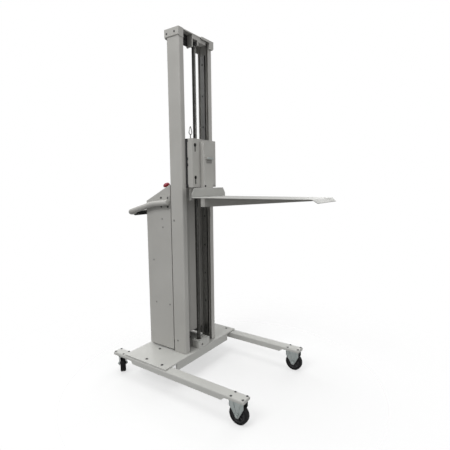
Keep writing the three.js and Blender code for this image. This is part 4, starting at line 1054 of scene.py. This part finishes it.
key_x, key_y = key_point.x, key_point.y
barrel = Shape()
barrel.turned([
    (5.6, -20), (9.0, -20), (9.0, 0.4), (12.4, 0.4), (12.5, 1.4), (11.4, 3.4), (9.4, 4.0), (5.6, 4.0),
], on_panel(key_x, key_y), 44, closed=True)
piece("key_switch_bezel", barrel, "zinc", replaces=["key_switch"])
key = Shape()
key_place = on_panel(key_x, key_y)
key.turned([(0, -12), (5.0, -12), (5.0, 3.4), (4.4, 4.2), (0, 4.2)], key_place, 32)
sideways = key_place @ Matrix.Rotation(math.pi / 2, 4, "X")
blade = [(-3.4, 3.8), (3.4, 3.8), (3.4, 12.0), (-3.4, 12.0)]
key.drawn(blade, 2.0, sideways, -1.0)
bow_outer = arc((0, 20), 9.6, -90, 249, 40)
bow_inner = arc((0, 23), 3.0, -90, 249, 40)
rings = [
    key.ring(sideways @ Vector((a, b, z)) for a, b in line)
    for line, z in ((bow_outer, -1.1), (bow_outer, 1.1), (bow_inner, 1.1), (bow_inner, -1.1))
]
key.skin(rings, closed=True)
piece("ignition_key", key, "steel", "key", ["key"], bevel=0.25)

gauge_x, gauge_y = panel_point("battery_gauge")
lamps = Shape()
for i in range(5):
    lamps.paint = 0 if i > 1 else (1 if i == 1 else 2)
    x = -12 + 6 * i
    lens = rounded((x - 2.2, -5), (x + 2.2, 5), 0.8, 3)
    lamps.drawn(lens, 0.8, on_panel(gauge_x, gauge_y), 1.4)
piece("gauge_lamps", lamps, "black_plastic", looks=[LAMP_GREEN, LAMP_AMBER, LAMP_RED])

spots = [(on_panel(x, y).translation, normal) for x in (-131, 131) for y in (56, 222)]
screws("panel_screws", pan_head, spots, 4.0, slot="zinc")

# ---- housing
holes = mirrored(((191, 680), (179, 422), (70, 424), (114, 927), (110, 879)))
spots = [((sign * shell.x[1], y, z), (sign, 0, 0)) for sign, y, z in holes]
screws("housing_side_screws", pan_head, spots, 4.6, slot="powder_coat", looks=[dark_coat_and_shadow_look])
heights = [shell.z[0] + 20 + (panel.z[0] - shell.z[0] - 50) * i / 3 for i in range(4)]
spots = [((x, shell.y[1], z), (0, 1, 0)) for x in (-128, 128) for z in heights]
screws("housing_back_screws", pan_head, spots, 4.2, looks=[BLACKENED])


def louvre(shape, x, z, half):
    """A pressed louvre on the back face: a hood that stands out and opens downwards."""
    y = shell.y[1]
    hood = 4.5
    rings = []
    for share in (-1.0, -0.92, -0.75, 0.0, 0.75, 0.92, 1.0):
        rise = hood * (1 - abs(share) ** 6)
        across = x + half * share
        rings.append(shape.ring([
            (across, y - 0.2, z + 9),
            (across, y + rise * 0.55, z + 5),
            (across, y + rise, z),
            (across, y + rise - min(rise, 1.2), z),
            (across, y - 0.2, z + 1),
        ]))
    shape.skin(rings)


vents = Shape()
# Painted shade: a thin black strip in each louvre's opening, where the inside of the housing lies in shade.
louvre_shade = Shape()
for column in (-58, 58):
    for row in range(7):
        z = 560 + 22 * row
        louvre(vents, column, z, 42)
        louvre_shade.block((column - 37, column + 37), (shell.y[1] - 0.1, shell.y[1] + 0.35), (z - 1.6, z + 0.9))
piece("back_louvres", vents, "powder_coat")
piece("louvre_slots", louvre_shade, "black_plastic")

inlet = Span("charger_inlet")
spots = [((inlet.centre.x + dx, inlet.y[1], inlet.centre.z), (0, 1, 0)) for dx in (-21.5, 21.5)]
screws("inlet_screws", pan_head, spots, 2.2, slot="zinc")
inlet_pins = Shape()
for dx in (-7.5, 0, 7.5):
    at = (inlet.centre.x + dx, inlet.y[1] - 27.5, inlet.centre.z)
    inlet_pins.turned([(0, 0), (1.8, 0), (1.8, 16), (1.2, 18), (0, 18)], facing(at, (0, 1, 0)), 20)
piece("inlet_pins", inlet_pins, "bronze")

# ---- push handle
bracket = Span("handle_bracket_left")
bar_low, bar_high = (FROM_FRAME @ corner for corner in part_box("handle_bar"))
grip = Span("handle_grip")
TUBE = 16.0
CROSSBAR_Y, CROSSBAR_Z = grip.centre.y, grip.centre.z
ARM_X = bar_high.x - TUBE
ARM_START = Vector((ARM_X, bar_low.y, bar_high.z - TUBE))


def rounded_path(corners, radii, steps=10):
    """Straight stretches between corners, with each inner corner rounded to its radius."""
    points = [Vector(corners[0])]
    for before, corner, after, radius in zip(corners, corners[1:], corners[2:], radii):
        corner = Vector(corner)
        back = (Vector(before) - corner).normalized()
        on = (Vector(after) - corner).normalized()
        half = back.angle(on) / 2
        reach = radius / math.tan(half)
        middle = corner + (back + on).normalized() * (radius / math.sin(half))
        start, end = corner + back * reach, corner + on * reach
        for step in range(steps + 1):
            toward = (start - middle).lerp(end - middle, step / steps).normalized()
            points.append(middle + toward * radius)
    points.append(Vector(corners[-1]))
    return points


knee = Vector((ARM_X, 165, ARM_START.z - 10))
corners = [
    ARM_START,
    knee,
    (ARM_X, CROSSBAR_Y, CROSSBAR_Z),
    (-ARM_X, CROSSBAR_Y, CROSSBAR_Z),
    (-ARM_X, knee.y, knee.z),
    (-ARM_X, ARM_START.y, ARM_START.z),
]
handle = Shape()
handle.swept(rounded_path(corners, (220, 42, 42, 220)), TUBE, 36)
piece("handle_tube", handle, "powder_coat", replaces=["handle_bar"])
caps = Shape()
for sign in (1, -1):
    at = (sign * ARM_X, ARM_START.y, ARM_START.z)
    caps.turned([(0, -3.4), (12.5, -3.4), (15.2, -2.2), (16.0, 0), (15.4, 0.6), (13, 0.6), (0, 0.6)],
                facing(at, (knee - ARM_START).normalized()), 36)
piece("handle_end_caps", caps, "powder_coat")

sleeve = Shape()
half_grip = grip.x[1]
outer = (grip.z[1] - grip.z[0]) / 2
RIBS = 26
profile = [(TUBE - 5, -half_grip), (outer - 1.0, -half_grip)]
profile += [(outer, -half_grip + 1.5), (outer, -half_grip + 8)]
step = (2 * half_grip - 16) / RIBS
for i in range(RIBS):
    start = -half_grip + 8 + step * i
    profile += [(outer - 0.9, start + step * 0.12), (outer - 0.9, start + step * 0.35)]
    profile += [(outer, start + step * 0.5), (outer, start + step)]
profile += [(outer, half_grip - 1.5), (outer - 1.0, half_grip), (TUBE - 5, half_grip)]
sleeve.turned(profile, facing((0, CROSSBAR_Y, CROSSBAR_Z - 4), (1, 0, 0)), 48, closed=True)
piece("ribbed_grip", sleeve, "soft_rubber", replaces=["handle_grip"])

holes = mirrored(((114, 1050), (62, 1050), (114, 999), (62, 999)))
spots = [((sign * bracket.x[1], y, z), (sign, 0, 0), y) for sign, y, z in holes]
screws("bracket_screws", socket_head, spots, 6.4, 2.8, looks=[BLACKENED])
arm_welds = Shape()
for sign in (1, -1):
    x = sign * (bracket.x[1] + 0.6)
    for dz in (-1, 1):
        z = ARM_START.z + dz * 5.5
        weld_bead(arm_welds, (x, 58, z), (x, 122, z - 2), 2.0)
piece("handle_welds", arm_welds, "powder_coat")

# ---- motor and batteries
motor_span = Span("motor")
fins = Shape()
FIN_COUNT, FIN_LOW = 24, 225
for i in range(FIN_COUNT):
    place = spindle @ Matrix.Rotation(2 * math.pi * i / FIN_COUNT, 4, "Z")
    fins.drawn(rounded((39.0, -1.0), (43.5, 1.0), 0.8, 2), motor_span.z[1] - 20 - FIN_LOW, place, FIN_LOW)
piece("motor_fins", fins, "dark_steel")
end_bell = Shape()
top = motor_span.z[1]
end_bell.turned([
    (0, top + 6), (24, top + 6), (36, top + 2), (40, top - 4), (40.6, top - 14), (39, top - 16), (0, top - 16),
], spindle, 48)
piece("motor_end_bell", end_bell, "black_plastic")
mount_top = Span("motor_mount").z[1]
spots = [
    ((motor_centre.x + dx, motor_centre.y + dy, mount_top), UP, dx)
    for dx in (-50, 50)
    for dy in (-50, 50)
]
screws("motor_mount_bolts", hexagon_head, spots, 10.0, 5.0, True, slot="zinc")

for side, sign in SIDES:
    box = Span("battery_" + side)
    lid = Shape()
    top = box.z[1] - 7
    outline = rounded((box.x[0] + 2, box.y[0] + 24), (box.x[1] - 2, box.y[1] - 2), 3)
    lid.drawn(outline, 2.0, Matrix.Identity(4), top)
    piece("battery_lid_" + side, lid, "black_plastic", bevel=0.5)
    spots = [((x, box.y[0] + 14, box.z[1]), UP) for x in (box.x[0] + 14, box.x[1] - 14)]
    screws("battery_terminals_" + side, hexagon_head, spots, 8.0, 3.0, slot="zinc")

# ---- floor, light and camera
FLOOR_SIZE = 40.0
floor_mesh = bpy.data.meshes.new("floor")
corners = [(-1, -1, 0), (1, -1, 0), (1, 1, 0), (-1, 1, 0)]
floor_mesh.from_pydata([tuple(FLOOR_SIZE * c for c in corner) for corner in corners], [], [(0, 1, 2, 3)])
floor = bpy.data.objects.new("floor", floor_mesh)
bpy.context.scene.collection.objects.link(floor)
floor_nodes = Nodes("floor_look")
floor_tone = floor_nodes.mix(floor_nodes.noise(1.2, 3.0), (0.88, 0.88, 0.88), (0.91, 0.91, 0.91))
from_middle = floor_nodes.new("ShaderNodeVectorMath", operation="LENGTH")
floor_nodes.feed(from_middle.inputs[0], floor_nodes.place)
fade = floor_nodes.span(from_middle.outputs["Value"], 0.45, 1.7, 0.42, 0.0)
floor_nodes.feed(floor_nodes.shader.inputs["Alpha"], fade)
floor_mesh.materials.append(floor_nodes.finish(floor_tone, 0.9, Specular_IOR_Level=0.1))


def softbox(name, at, aim, size, power):
    """A square area light at a point, aimed at another, in metres."""
    lamp = bpy.data.lights.new(name, "AREA")
    lamp.shape = "SQUARE"
    lamp.size = size
    lamp.energy = power
    made = bpy.data.objects.new(name, lamp)
    made.location = at
    made.rotation_mode = "QUATERNION"
    made.rotation_quaternion = (Vector(aim) - Vector(at)).to_track_quat("-Z", "Y")
    bpy.context.scene.collection.objects.link(made)


MIDDLE = (0.0, 0.0, 0.9)
softbox("overhead", (-0.4, 0.2, 5.2), MIDDLE, 3.0, 90.0)
softbox("front_fill", (0.6, -4.8, 2.0), MIDDLE, 2.6, 52.0)
softbox("side_key", (-3.9, 0.5, 4.3), MIDDLE, 2.2, 120.0)
softbox("back_fill", (2.4, 4.6, 2.6), MIDDLE, 2.6, 50.0)
softbox("far_side_fill", (4.6, 0.2, 2.8), MIDDLE, 2.4, 52.0)

world = bpy.data.worlds.new("studio")
bpy.context.scene.world = world
world.use_nodes = True
tree = world.node_tree
background = tree.nodes["Background"]
background.inputs["Strength"].default_value = 0.42
direction = tree.nodes.new("ShaderNodeTexCoord")
upward = tree.nodes.new("ShaderNodeSeparateXYZ")
sky = tree.nodes.new("ShaderNodeMapRange")
for key, number in (("From Min", -0.5), ("From Max", 0.7), ("To Min", 0.45)):
    sky.inputs[key].default_value = number
tree.links.new(direction.outputs["Generated"], upward.inputs["Vector"])
tree.links.new(upward.outputs["Z"], sky.inputs["Value"])
tree.links.new(sky.outputs["Result"], background.inputs["Color"])
seen = tree.nodes.new("ShaderNodeBackground")
seen.inputs["Color"].default_value = (1.0, 1.0, 1.0, 1.0)
seen.inputs["Strength"].default_value = 1.0
path = tree.nodes.new("ShaderNodeLightPath")
blend = tree.nodes.new("ShaderNodeMixShader")
tree.links.new(path.outputs["Is Camera Ray"], blend.inputs["Fac"])
tree.links.new(background.outputs["Background"], blend.inputs[1])
tree.links.new(seen.outputs["Background"], blend.inputs[2])
tree.links.new(blend.outputs["Shader"], tree.nodes["World Output"].inputs["Surface"])

CAMERA_AT = Vector((-1.6608, MAST_Y - 1.3924, 1.1261))
CAMERA_YAW = math.radians(-55.01)
CAMERA_DOWN = math.radians(6.44)
CAMERA_ROLL = math.radians(-0.56)
camera_data = bpy.data.cameras.new("camera")
camera_data.lens = 29.23
camera_data.sensor_width = 36.0
camera_data.clip_start = 0.05
camera_data.clip_end = 100.0
camera = bpy.data.objects.new("camera", camera_data)
aim = Matrix.Rotation(CAMERA_YAW, 4, "Z") @ Matrix.Rotation(math.pi / 2 - CAMERA_DOWN, 4, "X")
camera.matrix_world = Matrix.Translation(CAMERA_AT) @ aim @ Matrix.Rotation(CAMERA_ROLL, 4, "Z")
bpy.context.scene.collection.objects.link(camera)
bpy.context.scene.camera = camera
bpy.context.scene.view_settings.view_transform = "Standard"
